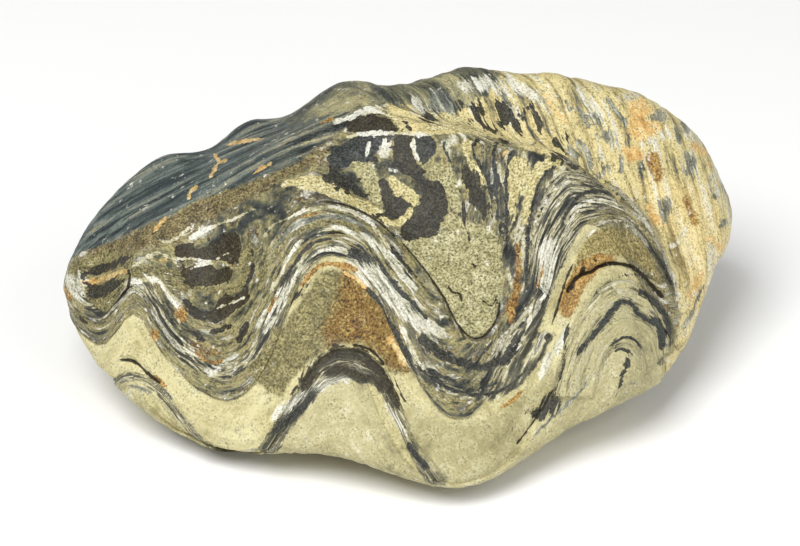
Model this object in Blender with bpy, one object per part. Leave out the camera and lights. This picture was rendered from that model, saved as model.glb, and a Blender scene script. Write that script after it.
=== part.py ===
"""A polished fossil oyster: two strongly folded valves, turned to stone around the sediment that filled them.

The shell lies on the worn flat under its lower valve, with the folded front margin and its gape towards -Y and
the hinge side towards the back left. Every size below is in millimetres, and the model is in metres.
"""

import bmesh
import bpy
import numpy as np

MM = 0.001

# How thick the upper valve and the sediment are, measured across the layers, how far the softer sediment has
# worn back behind the valves, and how far apart the pieces lie
UPPER_VALVE = 6.0
SEDIMENT = 7.0
SEDIMENT_WEAR = 0.6
PIECE_GAP = 0.3

# The widest outline seen from above, as points (x, y) around the shell from its right end
OUTLINE = [
    (62.6, 26.0), (59.6, 37.5), (48.5, 45.0), (29.0, 48.0), (9.0, 48.5), (-12.0, 46.0), (-32.0, 40.0),
    (-46.5, 32.0), (-56.5, 20.0), (-61.8, 7.0), (-60.0, -3.0), (-54.5, -11.0), (-50.0, -18.0), (-41.0, -25.0),
    (-34.5, -31.5), (-28.0, -34.5), (-19.5, -34.0), (-9.5, -37.5), (1.0, -42.0), (9.0, -44.5), (16.5, -41.5),
    (23.0, -34.5), (30.0, -28.0), (37.5, -24.5), (45.5, -17.5), (52.0, -4.5), (59.5, 13.0),
]

# The folded outer layer of the shell, as points (x, y, z) along the crests and the valleys of its folds. Towards
# the front it runs on past the worn face, where only deeper layers are left.
FOLD_LINES = {
    "main crest": [(-60, 6, 21.5), (-54, 10, 26.5), (-45, 11, 31.5), (-35.5, 12, 36.5), (-25, 13, 41.5),
                   (-12, 16, 46.5), (0, 19, 50), (12.5, 22, 51.2), (28, 24, 49.5), (42, 27, 45), (53, 29, 37),
                   (60, 29, 27)],
    "right front crest": [(-9.5, 8, 46), (0, 6, 48), (9, 4, 49), (22.5, 0.5, 48.5), (33, -5, 45), (40, -10, 40),
                          (45, -15, 35), (50, -22, 29)],
    "middle front crest": [(-26, -2, 38), (-17.5, -4.5, 41), (-12.5, -9, 41), (-11, -15, 40), (-10, -23, 37),
                           (-9.5, -36, 32), (-9, -44, 29)],
    "middle front shoulders": [(-5.5, -9, 39), (-4, -16, 37), (-3, -24, 34.5), (-3, -34, 29.5), (-18, -15, 38),
                               (-17, -24, 35.5), (-16.5, -34, 30.5)],
    "left front crest": [(-46, 5, 31), (-47, -0.5, 30.5), (-48.5, -8, 29), (-49.5, -16, 26.5), (-50, -24, 24)],
    "left tip crest": [(-57, 3, 23), (-60, -4, 22)],
    "right valley": [(9, 16.5, 45), (21.5, 16.5, 41), (35.5, 12.5, 35), (44.5, 5, 28), (50, -2.5, 20),
                     (54, -10, 15)],
    "middle valley": [(-9.5, 0, 42), (-4, -4, 37), (2, -9, 33), (7, -16, 29), (11, -22.5, 25), (12, -31, 20.5),
                      (9.5, -41, 18.5), (9, -48, 17)],
    "left valley": [(-41, -4, 31), (-36.5, -6, 26), (-33, -11, 21.5), (-31, -17.5, 19), (-30, -24, 19),
                    (-28.5, -32, 18.5), (-28, -38, 18)],
    "tip valley": [(-53, -1, 20), (-54, -11, 19)],
    "right front limb": [(19, -3, 38.5), (17.5, -9, 34.5), (17.5, -15, 31), (18, -23, 27)],
    "right front shoulder": [(28, -7, 44.5), (28, -14, 40.5), (28, -22, 35.5), (28, -31, 29)],
    "back left crest": [(-41, 23, 35), (-42, 28, 33), (-47, 36, 22)],
    "back left valley": [(-34, 25, 34), (-35.5, 35, 25)],
    "back middle left crest": [(-28, 30, 40), (-30, 40, 31)],
    "back middle left valley": [(-22, 28, 38), (-23, 40, 28)],
    "back middle crest": [(-10, 32, 46.5), (-12, 43, 35)],
    "back middle valley": [(-3, 29, 45), (-3, 43, 31)],
    "back right crest": [(12, 30, 49), (14, 45, 36)],
    "back right valley": [(24, 33, 45), (26, 46, 30)],
    "back far right crest": [(38, 34, 42.5), (42, 44, 33)],
    "back far right valley": [(49, 36, 36), (53, 43, 25)],
}
PLATE_STIFFNESS = 7.0
FOLD_SOFTNESS = 9
MARGIN_SOFTNESS = 36

# A layer is thicker straight down than across where the fold is steep: the share of that taken up, and its limit
STRETCH_SHARE = 0.7
STEEPEST_STRETCH = 1.9

# The worn outside by direction, in degrees from +X anticlockwise: how steeply it climbs from its widest line,
# and how high that line lies, not counting its share of the folds
SIDES = [(0, 2.0, 8.0), (12, 2.4, 12.0), (45, 2.6, 11.0), (90, 2.4, 9.0), (135, 2.6, 10.0), (165, 2.6, 11.0),
         (180, 2.2, 10.0), (190, 1.6, 4.0), (205, 1.15, -1.0), (240, 0.95, -1.5), (270, 1.0, -1.5),
         (295, 1.05, -1.5), (312, 1.2, -1.5), (328, 1.5, -1.0), (345, 1.6, 0.0), (354, 1.7, 3.0)]
MARGIN_WAVE = 0.30
UNDERSIDE_SLOPE = 0.85
# The underside sinks from this height at the widest line to the worn flat, this much for each millimetre inwards
UNDERSIDE_RISE = 3.0
UNDERSIDE_FALL = 0.12
TOP_ROUNDING = 5.0
MARGIN_ROUNDING = 7.0

# Where the sediment ends inside the shell, as points (x, y) from left to right, and how far in front of that
# line it reaches its full thickness
SEDIMENT_BACK = [(-75.0, 9.0), (-60.0, 5.0), (-45.0, 6.0), (-25.0, 6.0), (0.0, 3.0), (25.0, 4.0), (42.0, 1.0),
                 (54.0, -5.0), (75.0, -16.0)]
SEDIMENT_SWELL = 12.0

# Where the modelled shell is moved to, so that the middle of its box is over the origin
SHIFT = (-0.6, -3.9)

# How the points of the outside are spread, then those of the faces between the pieces
SPREAD = (121.0, 95.0, 84.0)
SPHERE_CENTRE = (0.0, 3.0, 7.0)
SPHERE_STEPS = 5
HALVINGS = 34
SHARP_DEGREES = 50
SLAB_WIDTH = 150.0
SLAB_ENDS = (-60.0, 62.0)
SLAB_TOP = 70.0
SLAB_FLOOR = -40.0
SLAB_COLUMNS = 28
FRONT_ROWS = 12
BACK_ROWS = 8

# The sampled height fields: cell size and half extents
CELL = 1.0
FIELD_HALF = (80.0, 66.0)


def smooth_points(points, per_span, closed=False):
    """Points read from a smooth curve through the given ones."""
    pts = [np.array(p, float) for p in points]
    count = len(pts)
    spans = count if closed else count - 1
    result = []
    for i in range(spans):
        if closed:
            a, b, c, d = (pts[(i + k) % count] for k in (-1, 0, 1, 2))
        else:
            a, b, c, d = pts[max(i - 1, 0)], pts[i], pts[i + 1], pts[min(i + 2, count - 1)]
        for step in range(per_span):
            t = step / per_span
            result.append(0.5 * (2 * b + (c - a) * t + (2 * a - 5 * b + 4 * c - d) * t ** 2
                                 + (3 * b - a - 3 * c + d) * t ** 3))
    if not closed:
        result.append(pts[-1])
    return np.array(result)


def smooth_max(a, b, width):
    """The larger of a and b, with the corner between them rounded over the given width."""
    blend = np.maximum(width - np.abs(a - b), 0.0) / width
    return np.maximum(a, b) + blend ** 2 * width / 4


def smooth_min(a, b, width):
    return -smooth_max(-a, -b, width)


def nearest_on_path(x, y, path):
    """Distance in plan from each point to a path."""
    best = np.full(x.shape, 1e9)
    for (ax, ay), (bx, by) in zip(path[:-1], path[1:]):
        dx, dy = bx - ax, by - ay
        t = np.clip(((x - ax) * dx + (y - ay) * dy) / (dx * dx + dy * dy), 0, 1)
        best = np.minimum(best, np.hypot(x - ax - t * dx, y - ay - t * dy))
    return best


def plate_kernel(distance):
    """How far a thin plate bends at a distance from the point that presses on it."""
    return distance ** 2 * np.log(distance + 1e-9)


def folded_height(x, y):
    """Height of the shell's folded outer layer: a thin plate bent through the crests and valleys."""
    knots = np.array([p for line in FOLD_LINES.values() for p in line], float)
    count = len(knots)
    between = np.hypot(knots[:, None, 0] - knots[None, :, 0], knots[:, None, 1] - knots[None, :, 1])
    flat = np.column_stack([np.ones(count), knots[:, :2]])
    matrix = np.zeros((count + 3, count + 3))
    matrix[:count, :count] = plate_kernel(between) + np.eye(count) * PLATE_STIFFNESS
    matrix[:count, count:] = flat
    matrix[count:, :count] = flat.T
    weights = np.linalg.solve(matrix, np.concatenate([knots[:, 2], np.zeros(3)]))
    height = weights[count] + weights[count + 1] * x + weights[count + 2] * y
    for weight, (kx, ky, _) in zip(weights, knots):
        height = height + weight * plate_kernel(np.hypot(x - kx, y - ky))
    return height


def inward_distance(x, y):
    """Distance in plan from the widest outline, positive inside it."""
    path = smooth_points(OUTLINE, 5, closed=True)
    path = np.vstack([path, path[:1]])
    distance = nearest_on_path(x, y, path)
    inside = np.zeros(x.shape, bool)
    for (ax, ay), (bx, by) in zip(path[:-1], path[1:]):
        crosses = ((ay > y) != (by > y)) & (x < (bx - ax) * (y - ay) / ((by - ay) or 1e-9) + ax)
        inside ^= crosses
    return np.where(inside, distance, -distance)


class Field:
    """A height sampled once on a plan grid and read back between its samples."""

    def __init__(self, function, soft_passes=0):
        self.xs = np.arange(-FIELD_HALF[0], FIELD_HALF[0] + CELL / 2, CELL)
        self.ys = np.arange(-FIELD_HALF[1], FIELD_HALF[1] + CELL / 2, CELL)
        grid_x, grid_y = np.meshgrid(self.xs, self.ys, indexing="ij")
        self.values = function(grid_x, grid_y)
        for _ in range(soft_passes):
            for axis in (0, 1):
                h = self.values
                self.values = (np.roll(h, 1, axis) + 2 * h + np.roll(h, -1, axis)) / 4

    def __call__(self, x, y):
        u = np.clip((x - self.xs[0]) / CELL, 0, len(self.xs) - 1.001)
        v = np.clip((y - self.ys[0]) / CELL, 0, len(self.ys) - 1.001)
        i, j = u.astype(int), v.astype(int)
        s, t = u - i, v - j
        h = self.values
        return (h[i, j] * (1 - s) * (1 - t) + h[i + 1, j] * s * (1 - t)
                + h[i, j + 1] * (1 - s) * t + h[i + 1, j + 1] * s * t)


def layer_stretch(x, y, folded):
    """How much further it is straight down through a layer than across it, where the fold is steep."""
    slope_x = (folded(x + CELL, y) - folded(x - CELL, y)) / (2 * CELL)
    slope_y = (folded(x, y + CELL) - folded(x, y - CELL)) / (2 * CELL)
    return np.minimum(np.sqrt(1 + STRETCH_SHARE * (slope_x ** 2 + slope_y ** 2)), STEEPEST_STRETCH)


def side_value(x, y, column):
    """A value of SIDES in the direction of each point."""
    angles = [row[0] for row in SIDES] + [360]
    values = [row[column] for row in SIDES] + [SIDES[0][column]]
    return np.interp(np.degrees(np.arctan2(y, x)) % 360, angles, values)


def outside(x, y, z, folded, inward):
    """Signed depth in millimetres, negative inside the stone and positive outside it."""
    fold = folded(x, y)
    edge = inward(x, y)
    margin = side_value(x, y, 2) + MARGIN_WAVE * fold
    top = smooth_min(fold, margin + side_value(x, y, 1) * edge, TOP_ROUNDING)
    bottom = smooth_max(margin - UNDERSIDE_SLOPE * edge, UNDERSIDE_RISE - UNDERSIDE_FALL * edge, MARGIN_ROUNDING)
    return np.maximum(smooth_max(z - top, bottom - z, MARGIN_ROUNDING), -z)


def new_object(name, bm, collection):
    """An object made from this mesh of millimetres, at its place in metres."""
    bmesh.ops.translate(bm, verts=bm.verts, vec=(*SHIFT, 0.0))
    bmesh.ops.scale(bm, verts=bm.verts, vec=(MM, MM, MM))
    bmesh.ops.recalc_face_normals(bm, faces=bm.faces)
    mesh = bpy.data.meshes.new(name)
    bm.to_mesh(mesh)
    bm.free()
    mesh.shade_smooth()
    mesh.set_sharp_from_angle(angle=np.radians(SHARP_DEGREES))
    item = bpy.data.objects.new(name, mesh)
    collection.objects.link(item)
    return item


def worn_stone(folded, inward, wear=0.0):
    """The whole stone: a sphere whose points are moved along their rays to the worn surface, or as far inside
    it as the wear says."""
    centre = np.array(SPHERE_CENTRE)
    bm = bmesh.new()
    bmesh.ops.create_icosphere(bm, subdivisions=SPHERE_STEPS, radius=1.0)
    rays = np.array([v.co for v in bm.verts]) * np.array(SPREAD)
    rays /= np.linalg.norm(rays, axis=1)[:, None]
    near, far = np.zeros(len(rays)), np.full(len(rays), SPREAD[0])
    for _ in range(HALVINGS):
        middle = (near + far) / 2
        p = centre + rays * middle[:, None]
        is_out = outside(p[:, 0], p[:, 1], p[:, 2], folded, inward) > -wear
        far = np.where(is_out, middle, far)
        near = np.where(is_out, near, middle)
    for vert, place in zip(bm.verts, centre + rays * near[:, None]):
        vert.co = place
    return bm


def sediment_reach(x, y):
    """How far a point lies in front of the line where the sediment ends."""
    return np.interp(x, *np.array(SEDIMENT_BACK).T) - y


def slab(top, bottom, rows):
    """A closed slab between two heights. Its first rows of points run from the front to the sediment's back
    edge, and the rest from there to the back, so that slabs that meet have their points one above the other."""
    bm = bmesh.new()
    bmesh.ops.create_grid(bm, x_segments=SLAB_COLUMNS, y_segments=rows, size=0.5)
    bmesh.ops.triangulate(bm, faces=bm.faces)
    lower = bmesh.ops.extrude_face_region(bm, geom=list(bm.faces))
    lower = {item for item in lower["geom"] if isinstance(item, bmesh.types.BMVert)}
    front, back = SLAB_ENDS
    for vert in bm.verts:
        x = vert.co.x * SLAB_WIDTH
        edge = float(np.interp(x, *np.array(SEDIMENT_BACK).T))
        row = (vert.co.y + 0.5) * rows
        y = np.interp(row, (0, FRONT_ROWS, FRONT_ROWS + BACK_ROWS), (front, edge, back))
        height = bottom if vert in lower else top
        vert.co = (x, y, float(height(np.array([x]), np.array([y]))[0]))
    bmesh.ops.remove_doubles(bm, verts=bm.verts, dist=0.01)
    return bm


def linear_colour(hexcode):
    """A colour written as sRGB, turned linear."""
    channels = [int(hexcode[i:i + 2], 16) / 255 for i in (1, 3, 5)]
    return (*[c / 12.92 if c <= 0.04045 else ((c + 0.055) / 1.055) ** 2.4 for c in channels], 1.0)


def piece(name, stone, cutter, hexcode, roughness, collection):
    """One piece of the shell: the stone where it and the cutter share the same space."""
    item = stone.copy()
    item.data = stone.data.copy()
    item.name = name
    item.data.name = name
    collection.objects.link(item)
    shared = item.modifiers.new("shared space", "BOOLEAN")
    shared.operation = "INTERSECT"
    shared.solver = "EXACT"
    shared.object = cutter
    material = bpy.data.materials.new(name)
    material.use_nodes = True
    surface = material.node_tree.nodes["Principled BSDF"]
    surface.inputs["Base Color"].default_value = linear_colour(hexcode)
    surface.inputs["Roughness"].default_value = roughness
    surface.inputs["Metallic"].default_value = 0.0
    item.data.materials.clear()
    item.data.materials.append(material)
    return item


def main():
    for item in list(bpy.data.objects):
        bpy.data.objects.remove(item)
    pieces = bpy.data.collections.new("fossil oyster")
    cutters = bpy.data.collections.new("cutters")
    for collection in (pieces, cutters):
        bpy.context.scene.collection.children.link(collection)
    folded = Field(folded_height, FOLD_SOFTNESS)
    inward = Field(inward_distance, MARGIN_SOFTNESS)

    def upper_sheet(x, y):
        return folded(x, y) - UPPER_VALVE * layer_stretch(x, y, folded)

    def sediment_top(x, y):
        return upper_sheet(x, y) - PIECE_GAP * layer_stretch(x, y, folded)

    def sediment_bottom(x, y):
        swell = np.clip(sediment_reach(x, y) / SEDIMENT_SWELL, 0, 1)
        return sediment_top(x, y) - SEDIMENT * swell * (2 - swell) * layer_stretch(x, y, folded)

    def lower_sheet(x, y):
        return sediment_bottom(x, y) - PIECE_GAP * layer_stretch(x, y, folded)

    all_rows = FRONT_ROWS + BACK_ROWS
    stone = new_object("stone", worn_stone(folded, inward), cutters)
    worn_back = new_object("worn back stone", worn_stone(folded, inward, SEDIMENT_WEAR), cutters)
    above = new_object("above", slab(lambda x, y: x * 0 + SLAB_TOP, upper_sheet, all_rows), cutters)
    between = new_object("between", slab(sediment_top, sediment_bottom, FRONT_ROWS), cutters)
    below = new_object("below", slab(lower_sheet, lambda x, y: x * 0 + SLAB_FLOOR, all_rows), cutters)
    piece("upper_valve", stone, above, "#9c9672", 0.5, pieces)
    piece("sediment", worn_back, between, "#b3ab80", 0.6, pieces)
    piece("lower_valve", stone, below, "#c9c59c", 0.55, pieces)
    for item in cutters.objects:
        item.hide_render = True
        item.display_type = "WIRE"


if __name__ == "__main__":
    main()
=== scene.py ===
import functools
import math

import bmesh
import bpy
import numpy as np
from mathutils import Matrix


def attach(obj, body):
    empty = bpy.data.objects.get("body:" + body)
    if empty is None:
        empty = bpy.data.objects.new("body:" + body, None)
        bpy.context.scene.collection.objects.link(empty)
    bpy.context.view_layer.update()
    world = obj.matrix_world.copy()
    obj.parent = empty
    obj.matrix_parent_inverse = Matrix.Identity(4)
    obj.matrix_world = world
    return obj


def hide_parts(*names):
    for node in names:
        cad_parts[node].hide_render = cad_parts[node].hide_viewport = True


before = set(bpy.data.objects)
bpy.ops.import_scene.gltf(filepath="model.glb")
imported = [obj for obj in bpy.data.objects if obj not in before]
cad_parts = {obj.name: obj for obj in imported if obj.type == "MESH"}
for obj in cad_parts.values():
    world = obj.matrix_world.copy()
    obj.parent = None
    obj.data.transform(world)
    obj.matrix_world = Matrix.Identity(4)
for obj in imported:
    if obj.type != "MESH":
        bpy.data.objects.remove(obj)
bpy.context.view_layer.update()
mm = 0.001

# The shell as it was measured for the frame, in millimetres. The folded outer layer is a thin plate bent
# through points (x, y, z) along the crests and valleys, and the worn outside is cut from it all round.
shell = {
    "upperValve": 6.0,
    "sediment": 7.0,
    "seam": 0.3,  # room that the frame leaves between its pieces; the dressed ones meet in its middle
    "sedimentWear": 0.45,  # how far the softer fill has worn back behind the valves
    "shift": (-0.6, -3.9),
    "plateStiffness": 7.0,
    "foldSoftness": 9,
    "marginSoftness": 36,
    "stretchShare": 0.7,
    "steepestStretch": 1.9,
    "marginWave": 0.30,
    "undersideSlope": 0.85,
    "undersideRise": 3.0,
    "undersideFall": 0.12,
    "topRounding": 5.0,
    "marginRounding": 7.0,
    "spread": (121.0, 95.0, 84.0),
    "sphereCentre": (0.0, 3.0, 9.0),
    "sphereSteps": 8,
    "halvings": 24,
    "fieldHalf": (80.0, 66.0),
    "outline": [
        (62.6, 26.0), (59.6, 37.5), (48.5, 45.0), (29.0, 48.0), (9.0, 48.5), (-12.0, 46.0), (-32.0, 40.0),
        (-46.5, 32.0), (-56.5, 20.0), (-61.8, 7.0), (-60.0, -3.0), (-54.5, -11.0), (-50.0, -18.0),
        (-41.0, -25.0), (-34.5, -31.5), (-28.0, -34.5), (-19.5, -34.0), (-9.5, -37.5), (1.0, -42.0),
        (9.0, -44.5), (16.5, -41.5), (23.0, -34.5), (30.0, -28.0), (37.5, -24.5), (45.5, -17.5),
        (52.0, -4.5), (59.5, 13.0)],
    "folds": {
        "main crest": [(-60, 6, 21.5), (-54, 10, 26.5), (-45, 11, 31.5), (-35.5, 12, 36.5), (-25, 13, 41.5),
                       (-12, 16, 46.5), (0, 19, 50), (12.5, 22, 51.2), (28, 24, 49.5), (42, 27, 45),
                       (53, 29, 37), (60, 29, 27)],
        "right front crest": [(-9.5, 8, 46), (0, 6, 48), (9, 4, 49), (22.5, 0.5, 48.5), (33, -5, 45),
                              (40, -10, 40), (45, -15, 35), (50, -22, 29)],
        "middle front crest": [(-26, -2, 38), (-17.5, -4.5, 41), (-12.5, -9, 41), (-11, -15, 40),
                               (-10, -23, 37), (-9.5, -36, 32), (-9, -44, 29)],
        "middle front shoulders": [(-5.5, -9, 39), (-4, -16, 37), (-3, -24, 34.5), (-3, -34, 29.5),
                                   (-18, -15, 38), (-17, -24, 35.5), (-16.5, -34, 30.5)],
        "left front crest": [(-46, 5, 31), (-47, -0.5, 30.5), (-48.5, -8, 29), (-49.5, -16, 26.5),
                             (-50, -24, 24)],
        "left tip crest": [(-57, 3, 23), (-60, -4, 22)],
        "right valley": [(9, 16.5, 45), (21.5, 16.5, 41), (35.5, 12.5, 35), (44.5, 5, 28), (50, -2.5, 20),
                         (54, -10, 15)],
        "middle valley": [(-9.5, 0, 42), (-4, -4, 37), (2, -9, 33), (7, -16, 29), (11, -22.5, 25),
                          (12, -31, 20.5), (9.5, -41, 18.5), (9, -48, 17)],
        "left valley": [(-41, -4, 31), (-36.5, -6, 26), (-33, -11, 21.5), (-31, -17.5, 19), (-30, -24, 19),
                        (-28.5, -32, 18.5), (-28, -38, 18)],
        "tip valley": [(-53, -1, 20), (-54, -11, 19)],
        "right front limb": [(19, -3, 38.5), (17.5, -9, 34.5), (17.5, -15, 31), (18, -23, 27)],
        "right front shoulder": [(28, -7, 44.5), (28, -14, 40.5), (28, -22, 35.5), (28, -31, 29)],
        "back left crest": [(-41, 23, 35), (-42, 28, 33), (-47, 36, 22)],
        "back left valley": [(-34, 25, 34), (-35.5, 35, 25)],
        "back middle left crest": [(-28, 30, 40), (-30, 40, 31)],
        "back middle left valley": [(-22, 28, 38), (-23, 40, 28)],
        "back middle crest": [(-10, 32, 46.5), (-12, 43, 35)],
        "back middle valley": [(-3, 29, 45), (-3, 43, 31)],
        "back right crest": [(12, 30, 49), (14, 45, 36)],
        "back right valley": [(24, 33, 45), (26, 46, 30)],
        "back far right crest": [(38, 34, 42.5), (42, 44, 33)],
        "back far right valley": [(49, 36, 36), (53, 43, 25)]},
    # by direction in degrees from +X: how steeply the side climbs, and how high its widest line lies
    "sides": [
        (0, 2.0, 8.0), (12, 2.4, 12.0), (45, 2.6, 11.0), (90, 2.4, 9.0), (135, 2.6, 10.0), (165, 2.6, 11.0),
        (180, 2.2, 10.0), (190, 1.6, 4.0), (205, 1.15, -1.0), (240, 0.95, -1.5), (270, 1.0, -1.5),
        (295, 1.05, -1.5), (312, 1.2, -1.5), (328, 1.5, -1.0), (345, 1.6, 0.0), (354, 1.7, 3.0)],
    "sedimentBack": [(-75.0, 9.0), (-60.0, 5.0), (-45.0, 6.0), (-25.0, 6.0), (0.0, 3.0), (25.0, 4.0),
                     (42.0, 1.0), (54.0, -5.0), (75.0, -16.0)],
    "sedimentSwell": 12.0,
}

# How the photograph was taken: an 800 by 546 frame, a long lens 620 mm away and 32 degrees above the table
photo = {"wide": 800, "high": 546, "focalPx": 3434.8, "away": 620.0, "elevation": 32.0, "originRow": 384.0}


def smoothPath(points, perSpan, closed=False):
    pts = [np.array(p, float) for p in points]
    count = len(pts)
    result = []
    for i in range(count if closed else count - 1):
        if closed:
            a, b, c, d = (pts[(i + k) % count] for k in (-1, 0, 1, 2))
        else:
            a, b, c, d = pts[max(i - 1, 0)], pts[i], pts[i + 1], pts[min(i + 2, count - 1)]
        for step in range(perSpan):
            t = step / perSpan
            result.append(0.5 * (2 * b + (c - a) * t + (2 * a - 5 * b + 4 * c - d) * t ** 2
                                 + (3 * b - a - 3 * c + d) * t ** 3))
    result.append(result[0] if closed else pts[-1])
    return np.array(result)


def smoothMax(a, b, width):
    blend = np.maximum(width - np.abs(a - b), 0.0) / width
    return np.maximum(a, b) + blend ** 2 * width / 4


def smoothMin(a, b, width):
    return -smoothMax(-a, -b, width)


def smoothStep(value):
    t = np.clip(value, 0.0, 1.0)
    return t * t * (3 - 2 * t)


# Signed distance from a path in plan or in the photograph: positive inside a closed outline, and within the
# half width of an open stroke
def insideBy(x, y, path, halfWidth=None):
    best = np.full(x.shape, 1e9)
    inside = np.zeros(x.shape, bool)
    for (ax, ay), (bx, by) in zip(path[:-1], path[1:]):
        dx, dy = bx - ax, by - ay
        t = np.clip(((x - ax) * dx + (y - ay) * dy) / max(dx * dx + dy * dy, 1e-9), 0, 1)
        best = np.minimum(best, np.hypot(x - ax - t * dx, y - ay - t * dy))
        if halfWidth is None:
            inside ^= ((ay > y) != (by > y)) & (x < dx * (y - ay) / (dy or 1e-9) + ax)
    if halfWidth is not None:
        return halfWidth - best
    return np.where(inside, best, -best)


def bentPlate(x, y):
    knots = np.array([p for line in shell["folds"].values() for p in line], float)
    count = len(knots)

    def bend(distance):
        return distance ** 2 * np.log(distance + 1e-9)

    between = np.hypot(knots[:, None, 0] - knots[None, :, 0], knots[:, None, 1] - knots[None, :, 1])
    flat = np.column_stack([np.ones(count), knots[:, :2]])
    matrix = np.zeros((count + 3, count + 3))
    matrix[:count, :count] = bend(between) + np.eye(count) * shell["plateStiffness"]
    matrix[:count, count:] = flat
    matrix[count:, :count] = flat.T
    weights = np.linalg.solve(matrix, np.concatenate([knots[:, 2], np.zeros(3)]))
    height = weights[count] + weights[count + 1] * x + weights[count + 2] * y
    for weight, (kx, ky, _) in zip(weights, knots):
        height = height + weight * bend(np.hypot(x - kx, y - ky))
    return height


# A height sampled once for each millimetre of the plan, and read back smoothly between its samples
class PlanField:
    def __init__(self, function, softPasses):
        self.halfX, self.halfY = shell["fieldHalf"]
        gridX, gridY = np.meshgrid(np.arange(-self.halfX, self.halfX + 0.5),
                                   np.arange(-self.halfY, self.halfY + 0.5), indexing="ij")
        self.values = function(gridX, gridY)
        for _ in range(softPasses):
            for axis in (0, 1):
                h = self.values
                self.values = (np.roll(h, 1, axis) + 2 * h + np.roll(h, -1, axis)) / 4

    def __call__(self, x, y):
        u = np.clip(x + self.halfX, 1, self.values.shape[0] - 3.001)
        v = np.clip(y + self.halfY, 1, self.values.shape[1] - 3.001)
        i, j = u.astype(int), v.astype(int)
        shares = []
        for t in (u - i, v - j):
            shares.append(((1 - t) ** 3 / 6, (3 * t ** 3 - 6 * t ** 2 + 4) / 6,
                           (-3 * t ** 3 + 3 * t ** 2 + 3 * t + 1) / 6, t ** 3 / 6))
        total = np.zeros(np.shape(u))
        for a in range(4):
            for b in range(4):
                total += shares[0][a] * shares[1][b] * self.values[i + a - 1, j + b - 1]
        return total


folded = PlanField(bentPlate, shell["foldSoftness"])
rimPath = smoothPath(shell["outline"], 5, closed=True)
inward = PlanField(lambda x, y: insideBy(x, y, rimPath), shell["marginSoftness"])
print("folded plate and outline sampled")


def layerStretch(x, y):
    slopeX = (folded(x + 1, y) - folded(x - 1, y)) / 2
    slopeY = (folded(x, y + 1) - folded(x, y - 1)) / 2
    stretch = np.sqrt(1 + shell["stretchShare"] * (slopeX ** 2 + slopeY ** 2))
    return np.minimum(stretch, shell["steepestStretch"])


def sideValue(x, y, column):
    angles = [row[0] for row in shell["sides"]] + [360]
    values = [row[column] for row in shell["sides"]] + [shell["sides"][0][column]]
    return np.interp(np.degrees(np.arctan2(y, x)) % 360, angles, values)


def outsideBy(p):
    x, y, z = p.T
    fold = folded(x, y)
    edge = inward(x, y)
    margin = sideValue(x, y, 2) + shell["marginWave"] * fold
    top = smoothMin(fold, margin + sideValue(x, y, 1) * edge, shell["topRounding"])
    bottom = smoothMax(margin - shell["undersideSlope"] * edge,
                       shell["undersideRise"] - shell["undersideFall"] * edge, shell["marginRounding"])
    return np.maximum(smoothMax(z - top, bottom - z, shell["marginRounding"]), -z)


def wornNormals(p):
    step = 0.6
    slopes = []
    for axis in np.eye(3):
        slopes.append(outsideBy(p + axis * step) - outsideBy(p - axis * step))
    normals = np.array(slopes).T
    return normals / np.maximum(np.linalg.norm(normals, axis=1), 1e-6)[:, None]


def softNoise(p, size, seed):
    side, start = 32, 500.0  # lattice points along a side, and an offset that keeps every place positive
    lattice = np.random.default_rng(seed).uniform(-1, 1, (side, side, side))
    q = p / np.array(size) + start
    low = np.floor(q).astype(int)
    t = q - low
    t = t * t * (3 - 2 * t)
    total = np.zeros(len(p))
    for corner in np.ndindex(2, 2, 2):
        share = np.prod(np.where(corner, t, 1 - t), axis=1)
        i, j, k = ((low + corner) % side).T
        total += share * lattice[i, j, k]
    return total


# Camera rays of the photograph, in the millimetres of the shell
eyeTilt = math.radians(photo["elevation"])
eye = np.array([0.0, -math.cos(eyeTilt), math.sin(eyeTilt)]) * photo["away"]
pitch = eyeTilt - math.atan((photo["originRow"] - photo["high"] / 2) / photo["focalPx"])
forward = np.array([0.0, math.cos(pitch), -math.sin(pitch)])
upward = np.array([0.0, math.sin(pitch), math.cos(pitch)])
pxPerMm = photo["focalPx"] / photo["away"]


def toPhoto(p):
    ray = p - eye
    depth = ray @ forward
    return (photo["wide"] / 2 + photo["focalPx"] * ray[:, 0] / depth,
            photo["high"] / 2 - photo["focalPx"] * (ray @ upward) / depth, depth)


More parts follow.
